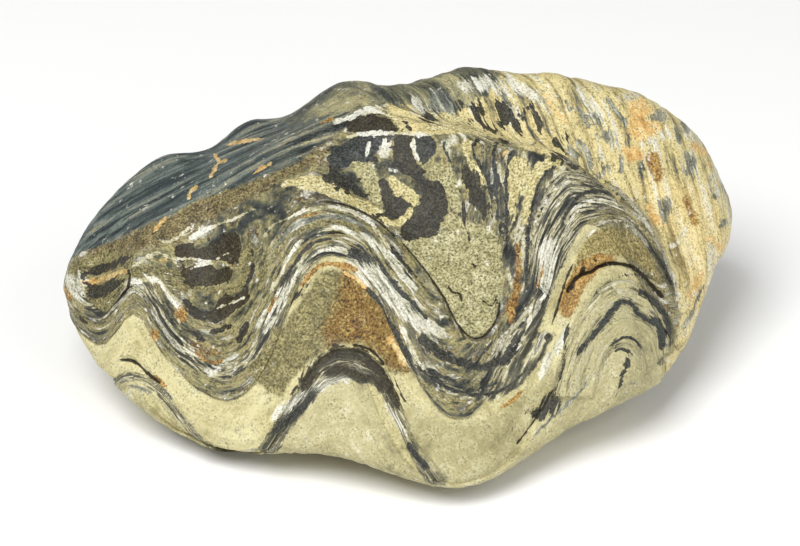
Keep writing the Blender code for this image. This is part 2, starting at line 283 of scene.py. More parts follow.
# What the photograph shows on the stone, each mark drawn over it in the photograph's own pixels. A mark is
# its width, its points and, for a dark patch, its tone from brown, 0, to blue-grey, 1. A width of 0 closes
# the points to an outline, and any other makes them a stroke that wide.
photoMarks = {
    "flank": {
        "blue-grey striped side": (0, [(30, 268), (84, 251), (112, 241), (150, 223), (172, 215), (200, 200),
            (245, 183), (290, 165), (318, 147), (352, 124), (385, 107), (392, 60), (210, 60), (30, 150)])},
    "top": {
        "cream top behind the right front fold": (0, [(386, 101), (400, 124), (413, 134), (440, 134),
            (465, 133), (500, 138), (524, 148), (564, 160), (591, 172), (618, 188), (640, 210), (655, 235),
            (668, 262), (677, 295), (680, 320), (674, 345), (662, 372), (690, 400), (790, 330), (790, 40),
            (500, 40), (440, 76), (405, 88)])},
    "topDark": {
        "dark start of the top": (0, [(300, 100), (345, 72), (380, 78), (430, 66), (480, 62), (500, 76),
            (490, 92), (470, 104), (455, 112), (440, 112), (424, 110), (408, 104), (388, 103), (372, 108),
            (350, 112), (330, 114), (300, 122), (282, 120)])},
    "mud": {
        "fill of the middle fold": (0, [(312, 283), (323, 272), (340, 270), (354, 277), (368, 291),
            (382, 308), (396, 331), (408, 353), (416, 369), (400, 374), (387, 372), (385, 362), (368, 347),
            (347, 343), (326, 351), (308, 364), (290, 382), (282, 396), (262, 386), (248, 370), (262, 350),
            (280, 330), (298, 306)]),
        "left tip": (0, [(66, 266), (88, 256), (112, 250), (134, 254), (130, 268), (126, 284), (116, 304),
            (104, 314), (88, 306), (72, 294), (64, 280)]),
        "olive band round the valley patch": (6.5, [(249, 242), (249, 262), (242, 283), (228, 292),
            (205, 290), (187, 284), (176, 272)]),
        "strip under the left arch": (8, [(141, 287), (153, 295), (162, 306), (167, 317)]),
        "brown layers of the left arch": (9, [(136, 274), (150, 269), (164, 273)]),
        "olive layer of the middle arch": (6.5, [(262, 278), (270, 260), (283, 242), (298, 231),
            (319, 223.5), (340, 222), (356, 227), (366, 234)])},
    "brownBand": {
        "plain band over the nose": (0, [(588, 236), (600, 229), (616, 228), (632, 233), (645, 246),
            (655, 262), (661, 280), (650, 276), (636, 262), (618, 257), (600, 258), (580, 270), (571, 284),
            (576, 258)])},
    "dullFill": {
        "fill under the middle valley": (0, [(402, 398), (424, 410), (450, 422), (480, 422), (508, 408),
            (530, 390), (548, 370), (560, 372), (548, 404), (524, 436), (504, 468), (478, 482), (446, 480),
            (424, 460), (408, 432)])},
    "rustFill": {
        "rusty fill of the middle fold": (0, [(344, 268), (354, 272), (366, 286), (380, 304), (394, 326),
            (408, 350), (414, 368), (402, 371), (388, 366), (380, 354), (364, 345), (348, 342), (334, 344),
            (324, 338), (326, 324), (334, 308), (338, 290)]),
        "stained left limb": (7, [(192, 346), (202, 350), (213, 352)])},
    "laminae": {
        "right limb of the right front fold": (0, [(500, 156), (524, 150), (560, 164), (592, 178),
            (620, 194), (604, 210), (583, 226), (568, 252), (556, 282), (545, 312), (530, 350), (506, 384),
            (480, 392), (486, 368), (503, 338), (508, 300), (505, 252), (498, 204)]),
        "left valley bottom": (12, [(134, 284), (150, 292), (162, 312), (173, 338), (187, 356), (204, 368),
            (223, 373), (240, 366), (256, 350), (268, 326), (278, 298), (292, 270)]),
        "left tip valley": (7, [(76, 288), (84, 300), (93, 310), (104, 316), (115, 308), (123, 295),
            (127, 284)]),
        "lower arch": (0, [(258, 450), (272, 430), (284, 410), (295, 392), (306, 375), (318, 359),
            (331, 351), (345, 348), (362, 351), (377, 362), (388, 376), (396, 396), (405, 416), (416, 438),
            (430, 458), (448, 482), (430, 484), (416, 466), (407, 448), (399, 430), (391, 414), (383, 398),
            (373, 385), (360, 384), (348, 379), (338, 382), (326, 388), (316, 398), (304, 412), (291, 430),
            (276, 452)]),
        "bottom of the middle valley": (9, [(420, 336), (434, 347), (452, 358), (481, 367), (502, 360),
            (521, 340), (532, 318)]),
        "bands under it": (13, [(404, 352), (424, 372), (449, 388), (479, 395), (506, 388), (530, 364),
            (546, 336)]),
        "arch in the nose": (7, [(577, 372), (584, 352), (591, 338), (605, 323), (617, 305), (628, 302),
            (636, 309), (648, 320), (658, 330), (663, 345), (660, 362)]),
        "outer arch in the nose": (6.5, [(632, 288), (644, 293), (655, 301), (664, 312), (669, 326),
            (669, 344)]),
        "lower left arch": (8, [(108, 390), (117, 381), (128, 377), (141, 379), (154, 386), (168, 397)]),
        "its right limb": (6.5, [(160, 394), (172, 408), (185, 423), (202, 443), (222, 454), (254, 452)])},
    "faint": {
        "layers in the nose": (0, [(552, 394), (560, 366), (568, 342), (578, 318), (590, 300), (602, 289),
            (616, 282), (630, 282), (644, 290), (656, 302), (666, 316), (672, 332), (671, 352), (655, 360),
            (646, 340), (634, 322), (622, 318), (608, 330), (596, 348), (586, 372), (576, 396)]),
        "swirl in the nose": (9, [(598, 372), (606, 354), (616, 344), (626, 340), (636, 346), (640, 360)]),
        "shadow of the swirl": (8, [(644, 366), (638, 380), (628, 392)])},
    "sandy": {
        "sandy band under the striped side": (0, [(84, 252), (112, 242), (150, 224), (200, 201), (245, 184),
            (290, 166), (320, 149), (336, 143), (326, 158), (300, 171), (266, 190), (232, 207), (206, 224),
            (182, 240), (150, 247), (112, 262)])},
    "lobe": {
        "plain right lobe": (0, [(636, 186), (652, 178), (676, 182), (700, 184), (718, 204), (724, 240),
            (716, 286), (700, 320), (688, 334), (684, 300), (676, 262), (664, 232), (650, 208)])},
    "cream": {
        "cream above the middle arch": (0, [(286, 180), (322, 177), (340, 186), (352, 196), (375, 206),
            (392, 222), (378, 219), (352, 205), (334, 198), (316, 190), (296, 188), (280, 189)]),
        "tongue between the dark patches": (0, [(387, 172), (395.6, 176), (407, 183), (418, 192), (419, 201),
            (416.6, 211), (407, 220), (396, 227), (384, 223), (381.5, 220), (395.6, 218), (404, 214),
            (409.6, 206), (405, 199), (397, 197), (391, 187)]),
        "cream step by the crest": (0, [(388, 110), (396, 117), (402, 126), (412, 134), (405, 135),
            (396, 126), (386, 114)]),
        "left of the white crest band": (0, [(452, 112), (470, 124), (490, 134), (505, 139), (486, 137),
            (450, 133), (428, 130), (424, 118)]),
        "rib": (0, [(507, 160), (520, 157), (527, 166), (522, 184), (517, 205), (514, 222), (509, 200),
            (508, 178)]),
        "rib nearer the nose": (0, [(535, 163), (550, 158), (563, 163), (548, 172), (538, 184), (532, 205),
            (528, 230), (523, 215), (526, 190)]),
        "rib by the white band": (0, [(462, 143), (470, 139), (474, 146), (470, 156), (478, 168), (486, 178),
            (484, 190), (478, 182), (467, 166)])},
    "olive": {
        "floor of the middle valley": (0, [(449, 212), (470, 222), (484, 226), (497, 236), (503, 262),
            (502, 290), (495, 320), (484, 334), (470, 336), (457, 322), (446, 300), (430, 276), (408, 252),
            (402, 240), (430, 238), (444, 226)]),
        "fold wall right of the dark patch": (0, [(432, 165), (448, 168), (458, 186), (462, 212), (452, 208),
            (448, 196), (440, 182), (431, 180)]),
        "brown strip between the dark patches": (0, [(349, 162), (356, 158), (368, 161), (376, 172),
            (381, 190), (381, 204), (370, 201), (364, 188), (356, 174)]),
        "foot of the middle valley": (0, [(470, 300), (486, 300), (492, 316), (486, 330), (474, 332),
            (464, 318)])},
    "pale": {
        "chalky right limb of the middle arch": (0, [(352, 252), (372, 258), (392, 276), (408, 296),
            (430, 314), (446, 330), (440, 345), (424, 332), (404, 318), (386, 302), (368, 282), (350, 266)]),
        "white crest patch": (0, [(380, 136), (391, 133), (392, 140), (390, 156), (384, 160), (379, 152)]),
        "white band over the crest": (0, [(441, 138), (452, 135), (467, 134), (460, 140), (452, 146),
            (453, 160), (458, 176), (459, 186), (455, 178), (449, 162), (443, 150)]),
        "inner white band of the middle arch": (7, [(276, 306), (287, 290), (298, 275), (304, 263),
            (315, 253.5), (329, 248.5), (343, 249.5), (352, 256)]),
        "second white band of the middle arch": (8, [(350, 231), (362, 236), (374, 244), (388, 257),
            (400, 270), (414, 286)]),
        "white spot of the left limb": (7, [(272, 313), (284, 298)]),
        "lower white spot": (6.5, [(266, 329), (274, 318)]),
        "chalk of the lower arch": (8, [(277, 414), (285, 409), (295, 403), (306, 395), (318, 388),
            (332, 382), (346, 380)]),
        "white patch by the left arch": (7, [(168, 296), (178, 304)]),
        "white patch of the valley": (7, [(185, 338), (193, 349)]),
        "white patch at its bottom": (6.5, [(208, 370), (224, 362), (234, 354)]),
        "white ridge beside the nose": (8, [(540, 372), (552, 352), (563, 333)]),
        "white rim of the top": (0, [(454, 84), (470, 80), (486, 76), (500, 82), (484, 88), (462, 92)]),
        "white band of the top": (8, [(484, 80), (500, 90), (510, 104), (518, 124)]),
        "bluish band of the top": (9, [(506, 80), (524, 92), (544, 100), (552, 111)]),
        "upper white band of the top": (7, [(577, 88), (588, 100), (599, 118)]),
        "white lobe patch": (0, [(624, 93), (638, 94), (640, 100), (626, 101)]),
        "bluish lobe patch": (0, [(662, 127), (671, 134), (669, 140), (658, 138)]),
        "second bluish lobe patch": (7, [(642, 142), (652, 142), (660, 150)]),
        "pale margin": (9, [(694, 118), (706, 132), (714, 150), (719, 172)]),
        "pale patch of the margin": (8, [(690, 134), (699, 144)]),
        "lower pale patch of the margin": (8, [(709, 178), (716, 196)]),
        "lowest pale patch of the margin": (7, [(712, 243), (712, 264)]),
        "white end of the top": (0, [(411, 96), (418, 94), (424, 102), (430, 112), (420, 116), (412, 108)]),
        "white streak on the limb": (0, [(540, 244), (552, 240), (556, 252), (552, 276), (546, 300),
            (540, 284), (541, 262)]),
        "left edge": (0, [(63, 276), (78, 272), (86, 282), (84, 298), (74, 296), (64, 290)])},
    "rust": {
        "long rusty streak": (0, [(515.6, 239), (519.4, 243), (521.4, 265), (519.4, 292), (515.6, 313),
            (510, 323), (506, 313), (508, 300), (513.7, 288), (516.6, 265)]),
        "rust by the left arch": (0, [(175, 308), (183, 306), (188, 316), (182, 322), (176, 318)]),
        "rust at the left edge": (0, [(65, 286), (70, 291), (73, 300), (68, 299), (64, 293)]),
        "rust spot in the left fill": (0, [(151, 331), (158, 330), (160, 339), (153, 340)]),
        "rust under the left crack": (4, [(150, 375), (160, 381), (168, 389)]),
        "brown line of the valley": (3, [(192, 346), (202, 358), (216, 363), (226, 358)]),
        "orange line of the left limb": (2.4, [(267, 317), (273, 303), (278, 292)]),
        "orange line over the arch": (1.6, [(289, 222), (304, 216), (322, 213)]),
        "inner rusty band of the middle arch": (4.4, [(298, 292), (309, 276), (321, 265.5), (335, 264),
            (349, 266.5), (360, 272)]),
        "brown speckles of the right lobe": (0, [(645, 158), (656, 152), (662, 168), (662, 181), (654, 182),
            (650, 170)]),
        "brown patch of the margin": (7, [(686, 199), (690, 210), (695, 223)]),
        "stain at the foot of the valley": (3, [(498, 408), (512, 401), (527, 385)]),
        "rusty pits over the nose crack": (0, [(560, 312), (560, 296), (567, 281), (578, 266), (592, 256),
            (604, 254), (617, 260), (604, 267), (590, 280), (582, 294), (576, 308), (568, 318)]),
        "crest vein": (2.2, [(356, 150), (360, 143), (367, 137)]),
        "side vein": (3, [(316, 125), (326, 121), (336, 119)]),
        "thin vein by the lens": (1.6, [(545, 256), (541, 276), (536, 292)])},
    "grey": {
        "grey band of the middle arch": (4.4, [(279, 246), (287, 231), (306, 221), (326, 216.5), (348, 219),
            (362, 227), (374, 241)]),
        "grey start of the top": (0, [(430, 92), (444, 92), (458, 108), (452, 112), (432, 108)]),
        "grey band of the top": (5, [(496, 88), (506, 100), (512, 108)]),
        "grey streak of the top": (4, [(562, 96), (567, 104), (571, 113)]),
        "second grey streak": (4.4, [(575, 104), (583, 116), (591, 131)]),
        "third grey streak": (4, [(605, 95), (612, 106), (622, 118), (629, 127)]),
        "short grey streak": (4, [(592, 110), (599, 121), (603, 130)]),
        "grey streak of the lobe": (4.4, [(640, 158), (643, 166), (645, 174)]),
        "second streak of the lobe": (4.4, [(674, 125), (678, 135), (681, 147)]),
        "third streak of the lobe": (4.4, [(680, 119), (685, 127), (689, 135)]),
        "grey patch of the lobe": (0, [(659, 199), (671, 199), (670, 216), (663, 223), (660, 213)]),
        "grey patch by the ochre": (0, [(646, 115), (662, 112), (664, 120), (650, 122)]),
        "grey margin": (5, [(712, 190), (716, 204)]),
        "olive margin": (5, [(717, 229), (723, 224), (727, 218)]),
        "grey line below the nose": (2.4, [(528, 442), (555, 415), (580, 392), (590, 376)]),
        "grey line of the lower left arch": (3, [(124, 384), (140, 388), (156, 394)]),
        "edge of the right margin": (3, [(706, 280), (698, 297), (690, 316), (681, 333)]),
        "curved top streak": (4.4, [(576, 137), (584, 147), (590, 160), (590, 174)]),
        "right top patch": (0, [(599, 133), (608, 129), (616, 141), (616, 147), (607, 144), (602, 138)]),
        "right lens": (0, [(599, 153), (605, 158), (610, 168), (605, 176), (599, 177), (598, 166)]),
        "right streak": (5, [(620, 152), (621, 164), (621, 177)]),
        "brown lobe patch": (5, [(654, 153), (657, 161)]),
        "outer lobe patch": (0, [(684, 154), (692, 152), (698, 162), (692, 174), (685, 172)]),
        "grey oval": (0, [(564, 152), (572, 146), (582, 152), (581, 161), (576, 165), (565, 160)])},
    "ochre": {
        "ochre patch of the right lobe": (0, [(627, 104), (642, 98), (651, 105), (654, 112), (646, 116),
            (649, 122), (663, 124), (657, 134), (643, 140), (633, 140), (628, 129), (630, 114)]),
        "lower ochre patch": (0, [(622, 149), (638, 146), (643, 158), (633, 162), (624, 156)]),
        "ochre line of the top": (3.4, [(541, 90), (550, 103), (559, 115), (571, 126)]),
        "ochre of the margin": (6.5, [(694, 145), (705, 153)]),
        "ochre spot of the margin": (5, [(708, 161), (710, 167)]),
        "ochre by the crest": (8, [(650, 208), (659, 223)]),
        "lower ochre of the margin": (6.5, [(710, 238), (720, 247)]),
        "lowest ochre of the margin": (7, [(701, 275), (691, 294)]),
        "ochre strip in the left tip": (0, [(84, 280), (95, 279), (107, 275), (123, 270), (121, 275),
            (107, 280), (95, 285), (86, 284)]),
        "ochre line of the left arch": (1.8, [(153, 261.5), (160, 260), (169, 260)]),
        "ochre edge of the middle fill": (3, [(341, 271), (356, 279), (370, 292)]),
        "ochre foot of the middle fill": (7, [(390, 340), (400, 352), (404, 362)]),
        "side vein": (2.4, [(152, 234), (160, 224), (168, 214)]),
        "middle side vein": (3.2, [(187, 202), (191, 191), (200, 185)]),
        "upper side vein": (3, [(208, 180), (214, 170), (218, 161), (212, 151)]),
        "branch of it": (2.4, [(216, 164), (223, 162), (228, 158)]),
        "highest side vein": (2.4, [(250, 176), (262, 168), (276, 160)]),
        "rim line of the side": (3, [(222, 146), (244, 141), (268, 138)]),
        "ochre vein of the crest rib": (2, [(502, 158), (505, 152), (512, 150)])},
    "dark": {
        "line under the grey band": (2.4, [(278, 290), (290, 270), (298, 258), (309, 246.5), (322, 239.5),
            (336, 237)], 0.5),
        "specks of the right limb": (4.4, [(368, 247), (379, 262), (392, 281), (405, 296), (418, 309),
            (430, 320)], 0.8),
        "inner line of the left limb": (2.6, [(284, 312), (293, 300.5), (304, 288), (315, 276)], 0.5),
        "inner line of the right limb": (3.8, [(366, 286), (378, 303), (388, 320), (402, 345),
            (415, 368)], 0.8),
        "outer line of the right limb": (2, [(384, 240), (398, 256), (413, 274), (428, 292),
            (442, 308)], 0.7),
        "edge of the left limb": (2.6, [(252, 246), (253, 262), (252, 272), (248, 283), (240, 291)], 0.4),
        "lower edge of the left limb": (5, [(236, 345), (243, 333), (249, 320)], 0.4),
        "third valley band": (4.4, [(209, 333), (221, 328.5), (235, 325)], 0.3),
        "fourth valley band": (5, [(184, 328), (196, 335), (208, 343)], 0.3),
        "strip by the left rust": (0, [(184, 301), (192, 304), (208, 309), (209, 316), (198, 318),
            (191, 312)], 0.3),
        "outer arc in the nose": (5, [(636, 291), (646, 295), (658, 307), (667, 322), (670, 341)], 0.9),
        "dark arc over the nose": (2.2, [(560, 233), (566, 214), (578, 197), (592, 191), (612, 194),
            (628, 202)], 0.8),
        "dark band beside the plain band": (4.5, [(630, 223), (642, 236), (654, 252), (666, 270),
            (673, 290)], 0.7),
        "fine arc in the nose": (1.6, [(592, 301), (600, 288), (612, 280), (626, 275), (641, 275)], 0.9),
        "pit over the nose crack": (3.6, [(580, 273), (586, 267)], 0),
        "second pit": (3.2, [(592, 262), (599, 259)], 0),
        "third pit": (3.2, [(570, 293), (574, 284)], 0),
        "specks of the nose limb": (4, [(545, 343), (551, 331)], 0.3),
        "third line under the valley": (2, [(422, 367), (445, 378), (464, 385), (483, 387),
            (502, 381)], 0.8),
        "left patch over the arch": (0, [(327, 173), (334, 165), (341, 172), (352, 173), (362, 183),
            (366, 192), (365, 199), (356, 196), (346, 190), (339, 185), (334, 180), (324, 175)], 0.6),
        "hooked patch": (0, [(373, 159), (380, 162), (386, 176), (391, 190), (396, 197), (405, 201),
            (408, 206), (403, 214), (393, 219), (381, 217), (376, 214), (384, 211), (381, 197), (380, 183),
            (376, 169)], 0.4),
        "largest patch, from the crest down": (0, [(392, 134), (411, 137), (411, 154), (417, 162),
            (426, 169), (431, 182), (440, 183), (447, 197), (449, 209), (440, 225), (426, 237), (411, 238),
            (401, 232), (410, 221), (415, 217), (418, 204), (419, 193), (412, 187), (405, 179), (396, 173),
            (389, 171), (385, 162), (391, 157), (393, 140)], 0.35),
        "crest patch": (0, [(418, 137), (430, 136), (434, 145), (431, 158), (422, 163), (417, 152)], 0.9),
        "crest start": (0, [(334, 150), (344, 140), (362, 136), (376, 137), (376, 150), (366, 160),
            (350, 160), (340, 166), (332, 160)], 1),
        "flat grey patch": (0, [(356, 119), (367, 115), (384, 116), (394, 123), (402, 131), (384, 133),
            (363, 133), (352, 130), (352, 123)], 0.15),
        "lens on the limb": (0, [(460, 152), (467, 160), (475, 174), (483, 183), (489, 200), (489, 215),
            (483, 220), (477, 212), (471, 196), (464, 182), (458, 166)], 0.3),
        "thin line beside the lens": (2.4, [(459, 186), (462, 198), (464, 219), (468, 236),
            (472, 252)], 0.4),
        "blob at its end": (5, [(469, 246), (472, 252)], 0.5),
        "second crest band": (3.6, [(446, 139), (444, 148), (450, 160), (456, 172)], 0.9),
        "third crest band": (2.2, [(480, 138), (473, 145), (474, 155), (482, 168), (489, 186),
            (492, 205)], 0.9),
        "fourth crest band": (2, [(500, 140), (494, 150), (494, 165), (497, 185), (498, 215),
            (502, 245)], 0.9),
        "fifth crest band": (2, [(518, 148), (510, 158), (507, 172), (506, 196), (507, 230),
            (507, 262)], 0.8),
        "rib shadow": (2.4, [(560, 164), (546, 173), (537, 188), (532, 210), (528, 235), (527, 262),
            (526, 298)], 0.9),
        "upper left valley patch": (0, [(172, 254), (183, 246), (201, 246), (211, 238), (226, 229),
            (238, 234), (242, 250), (236, 262), (211, 261), (194, 259), (181, 262)], 0),
        "middle left valley patch": (0, [(183, 270), (190, 267), (215, 266), (233, 268), (235, 275),
            (231, 282), (215, 286), (197, 287), (186, 280)], 0),
        "lower left valley patch": (0, [(192, 311), (208, 308), (219, 298), (240, 288), (250, 284),
            (247, 300), (235, 311), (215, 318), (201, 318)], 0),
        "left tip strip": (0, [(85, 268), (101, 264), (116, 259), (128, 257), (129, 262), (116, 269),
            (101, 273), (86, 275)], 0.4),
        "left tip blob": (0, [(87, 288), (101, 284), (119, 277), (122, 280), (116, 291), (105, 298),
            (95, 301), (88, 297)], 0.4),
        "brown foot of the left tip": (5, [(78, 315), (84, 321), (90, 323)], 0),
        "dark oval in the chalk": (0, [(346, 250), (356, 246), (370, 252), (376, 260), (366, 264),
            (352, 258)], 0.7),
        "patch under the nose limb": (0, [(533, 415), (543, 402), (553, 391), (559, 402), (553, 414),
            (544, 420)], 0.6),
        "line above that patch": (2, [(552, 396), (559, 380), (564, 362), (566, 342), (568, 322)], 0.6),
        "swirl in the nose": (2, [(608, 352), (617, 341), (628, 337), (638, 342), (641, 350)], 0.8),
        "inner swirl": (4, [(613, 352), (621, 349), (628, 353), (628, 362), (623, 374), (618, 390)], 0.8),
        "black band of the lower arch": (10, [(305, 385), (312, 371), (321, 361), (332, 355), (346, 353),
            (362, 356), (376, 366), (386, 378), (394, 393), (398, 403)], 0),
        "inner black band of the lower arch": (8, [(330, 372), (342, 369), (354, 373), (364, 378),
            (374, 377), (382, 386)], 0),
        "left limb of the lower arch": (6.5, [(313, 391), (305, 403), (295, 414), (284, 423),
            (275, 431)], 0.8),
        "outer line of its left limb": (2.6, [(304, 381), (296, 389), (288, 397)], 0.6),
        "foot of the lower arch": (5.6, [(407, 441), (413, 451), (423, 463), (430, 471)], 0.9),
        "black core of the valley bottom": (6.5, [(424, 339), (437, 350), (456, 361), (475, 366.5),
            (494, 364.5), (511, 353.5), (519, 340)], 0.6),
        "line of the bands under it": (1.8, [(412, 362), (430, 377), (452, 389), (479, 395), (504, 389),
            (526, 370)], 0.8),
        "core of the nose arch": (5.4, [(577, 357), (582, 348), (591, 337), (604, 322), (613, 310),
            (622, 302), (630, 303), (637, 313), (647, 319), (658, 325), (661, 340), (662, 352)], 1),
        "top streak": (0, [(456, 96), (462, 98), (470, 109), (477, 119), (475, 124), (468, 122), (463, 113),
            (457, 105)], 0.5),
        "second top streak": (0, [(475, 104), (480, 108), (485, 118), (491, 130), (487, 131), (481, 124),
            (476, 114)], 0.4),
        "spot below it": (6, [(492, 129), (497, 134)], 0.1),
        # painted shadow: a brown stroke where the crest shades the surface beside it
        "brown painted shadow of the crest": (5, [(497, 137), (503, 140), (510, 144)], 0.1),
        "third top streak": (0, [(495, 101), (503, 102), (513, 110), (514, 115), (508, 124), (503, 124),
            (498, 114)], 0.6),
        "drop": (0, [(515, 118), (520, 119), (523, 129), (521, 132), (513, 128)], 0.4),
        "fourth top streak": (0, [(518, 101), (532, 103), (533, 107), (529, 116), (525, 114),
            (522, 107)], 0.8),
        "fifth top streak": (0, [(533, 110), (538, 113), (544, 123), (543, 129), (538, 129),
            (535, 119)], 0.4),
        "small drop": (4.5, [(532, 141), (534, 147)], 0.3),
        "long top streak": (0, [(555, 114), (560, 125), (564, 141), (563, 160), (554, 158), (556, 143),
            (557, 130)], 0.6),
        "grey oval edge": (2.4, [(566, 164), (576, 167), (583, 162)], 0.4),
        "core of the grey lobe patch": (4, [(647, 116), (652, 117)], 1),
        "top dark patch": (0, [(422, 114), (430, 112), (437, 119), (430, 124), (423, 121)], 0.6),
        "thin top strip": (3.5, [(401, 118), (408, 126), (413, 133)], 0.6),
        "dark line of the side": (3.5, [(280, 146), (300, 140), (325, 131), (350, 123)], 1)},
    "vein": {
        "vein across the valley patch": (1.4, [(165, 257), (180, 259), (192, 259), (211, 261), (222, 256),
            (231, 252)]),
        "vein under it": (1.2, [(190, 268), (204, 264), (218, 264), (233, 266)]),
        "vein in the lower patch": (1.4, [(208, 312), (216, 309), (226, 305), (238, 300), (247, 296)]),
        "pale streak of the side": (3, [(154, 239), (166, 242), (179, 237), (192, 224)]),
        "edge line of the sandy band": (2.2, [(186, 239), (196, 235), (206, 229), (220, 224), (233, 219),
            (246, 213), (258, 207)]),
        "white line by the flat patch": (2.6, [(328, 123), (342, 120), (354, 116), (365, 110), (384, 106),
            (389, 102)]),
        "line over the patch": (1.6, [(358, 118), (370, 112), (382, 112), (392, 120)]),
        "crest edge line": (1.6, [(343, 139), (356, 135), (372, 133), (392, 133), (420, 134), (448, 134)]),
        "outer white band of the middle arch": (3, [(262, 240), (273, 225), (290, 217.5), (301, 212),
            (319, 208.5), (340, 208.5), (354, 213), (368, 221), (381, 236), (392, 251)]),
        "second white band of the left limb": (3.4, [(268, 299), (278, 279), (290, 254), (307, 239),
            (324, 230.5), (340, 228), (356, 232)]),
        "white line of the right limb": (3, [(398, 322), (407, 337), (414, 352), (421, 368)]),
        "fine white arc in the nose": (1.6, [(586, 316), (596, 299), (609, 287), (624, 281), (641, 283)]),
        "white corner of the top": (2.4, [(667, 243), (673, 247), (680, 238), (686, 226)]),
        "left arch line": (4, [(131, 268), (138, 262), (147, 257), (160, 253), (170, 258), (178, 265)]),
        "left arch inner line": (4.4, [(129, 283), (141, 280), (153, 280), (162, 283), (168, 291),
            (173, 301)]),
        "arm of the left arch": (2.2, [(174, 300), (178, 312), (180, 330), (186, 348), (196, 362)]),
        "crest cross line": (1.6, [(371, 140), (368, 148), (366, 158)]),
        "crest cross line right": (2.6, [(414, 137), (413, 146), (416, 156), (420, 162)]),
        "nose rim line": (2.4, [(600, 183), (620, 193), (640, 213), (655, 238), (668, 264), (677, 290),
            (679, 316)]),
        "chalk line of the limb": (2.2, [(534, 300), (526, 330), (516, 352)]),
        "white line of the lower arch": (4, [(384, 400), (392, 414), (402, 427), (408, 437)]),
        "white arc over the nose": (2.6, [(571, 260), (578, 246), (587, 236), (598, 225), (613, 220),
            (628, 224), (640, 235), (650, 249)]),
        "upper white arc over the nose": (3, [(563, 228), (569, 217), (576, 209), (584, 204), (598, 201),
            (613, 204), (629, 212), (640, 223)])},
    "crack": {
        "open crack of the nose": (3.4, [(566, 295), (571, 286), (576, 279), (583, 274), (591, 272),
            (598, 267), (605, 264.6), (612, 263), (619, 263.8), (627, 265), (634, 268), (640, 273),
            (646, 279), (651, 285), (657, 291), (666, 300)]),
        "crack in the middle arch": (1.8, [(326, 234), (336, 232.5), (349, 235)]),
        "crack over the lower arch": (1.8, [(350, 345), (360, 346), (370, 350), (380, 359), (385, 367)]),
        "floor crack left": (1.2, [(447, 283), (452, 292), (460, 294), (462, 305)]),
        "floor crack right": (1.2, [(481, 298), (487, 304), (493, 305), (498, 292)]),
        "floor crack top": (1.2, [(471, 262), (475, 266), (479, 267)]),
        "valley edge": (1.6, [(398, 238), (412, 254), (428, 274), (444, 298), (456, 322), (470, 337),
            (484, 336), (497, 318), (500, 296)]),
        "line over the middle arch": (1.4, [(320, 202), (336, 203), (351, 207), (370, 216), (386, 228),
            (398, 240)]),
        "left fill crack": (2.2, [(117, 360), (128, 360), (138, 364), (146, 372), (153, 378), (163, 385)]),
        "left tip crack": (2, [(127, 268), (130, 276), (127, 290), (118, 300)]),
        "lower front crack": (1.3, [(559, 380), (540, 412), (526, 432), (512, 450)]),
        "limb crack": (1.6, [(576, 258), (566, 280), (558, 306), (550, 330)])},
}
markReach = 3.0  # a mark's distance is kept up to this many millimetres
widestLine = 6.0  # pixels; a stroke up to this wide is a line, and a wider one is filled as an outline is
spanPoints = 4  # points of the smooth path from one drawn point to the next
plainTone = 0.5
noLine = -0.4  # the half width, in millimetres, where no line runs


# Which points the photograph shows: those that face its camera with nothing nearer in front of them
class PhotoView:
    cell = 4.0  # pixels
    depthSlack = 5.0  # millimetres behind the nearest point at which a point starts to be hidden
    depthFade = 2.0
    grazing = 0.02  # how far past edge-on a face may turn, as the cosine of its angle to the ray
    grazingFade = 0.12

    def __init__(self, stonePoints):
        u, v, depth = toPhoto(stonePoints)
        size = (math.ceil(photo["wide"] / self.cell), math.ceil(photo["high"] / self.cell))
        self.nearest = np.full(size, 1e9)
        np.minimum.at(self.nearest, self.cells(u, v), depth)

    def cells(self, u, v):
        return (np.clip(u / self.cell, 0, self.nearest.shape[0] - 1).astype(int),
                np.clip(v / self.cell, 0, self.nearest.shape[1] - 1).astype(int))

    def seen(self, p, normals):
        u, v, depth = toPhoto(p)
        front = self.depthSlack - (depth - self.nearest[self.cells(u, v)])
        rays = (p - eye) / np.linalg.norm(p - eye, axis=1)[:, None]
        facing = -np.sum(rays * normals, axis=1)
        facingShare = smoothStep((facing + self.grazing) / self.grazingFade)
        return u, v, smoothStep(front / self.depthFade) * facingShare


def isLine(mark):
    return 0 < mark[0] <= widestLine


def nearMark(path, u, v, seen):
    margin, leastSeen = 16, 0.02
    low, high = path.min(axis=0) - margin, path.max(axis=0) + margin
    return np.flatnonzero((u > low[0]) & (u < high[0]) & (v > low[1]) & (v < high[1]) & (seen > leastSeen))


# How far inside the marked areas each point lies, and the tone of the nearest
def areaDistance(kind, u, v, seen):
    distance = np.full(len(u), -markReach)
    tone = np.zeros(len(u))
    for width, points, *markTone in (mark for mark in photoMarks[kind].values() if not isLine(mark)):
        path = smoothPath(points, spanPoints, closed=not width)
        near = nearMark(path, u, v, seen)
        inside = insideBy(u[near], v[near], path, width / 2 if width else None) / pxPerMm
        closer = inside > distance[near]
        tone[near[closer]] = markTone[0] if markTone else plainTone
        distance[near] = np.maximum(distance[near], inside)
    distance = np.clip(distance, -markReach, markReach)
    return distance * seen - markReach * (1 - seen), tone


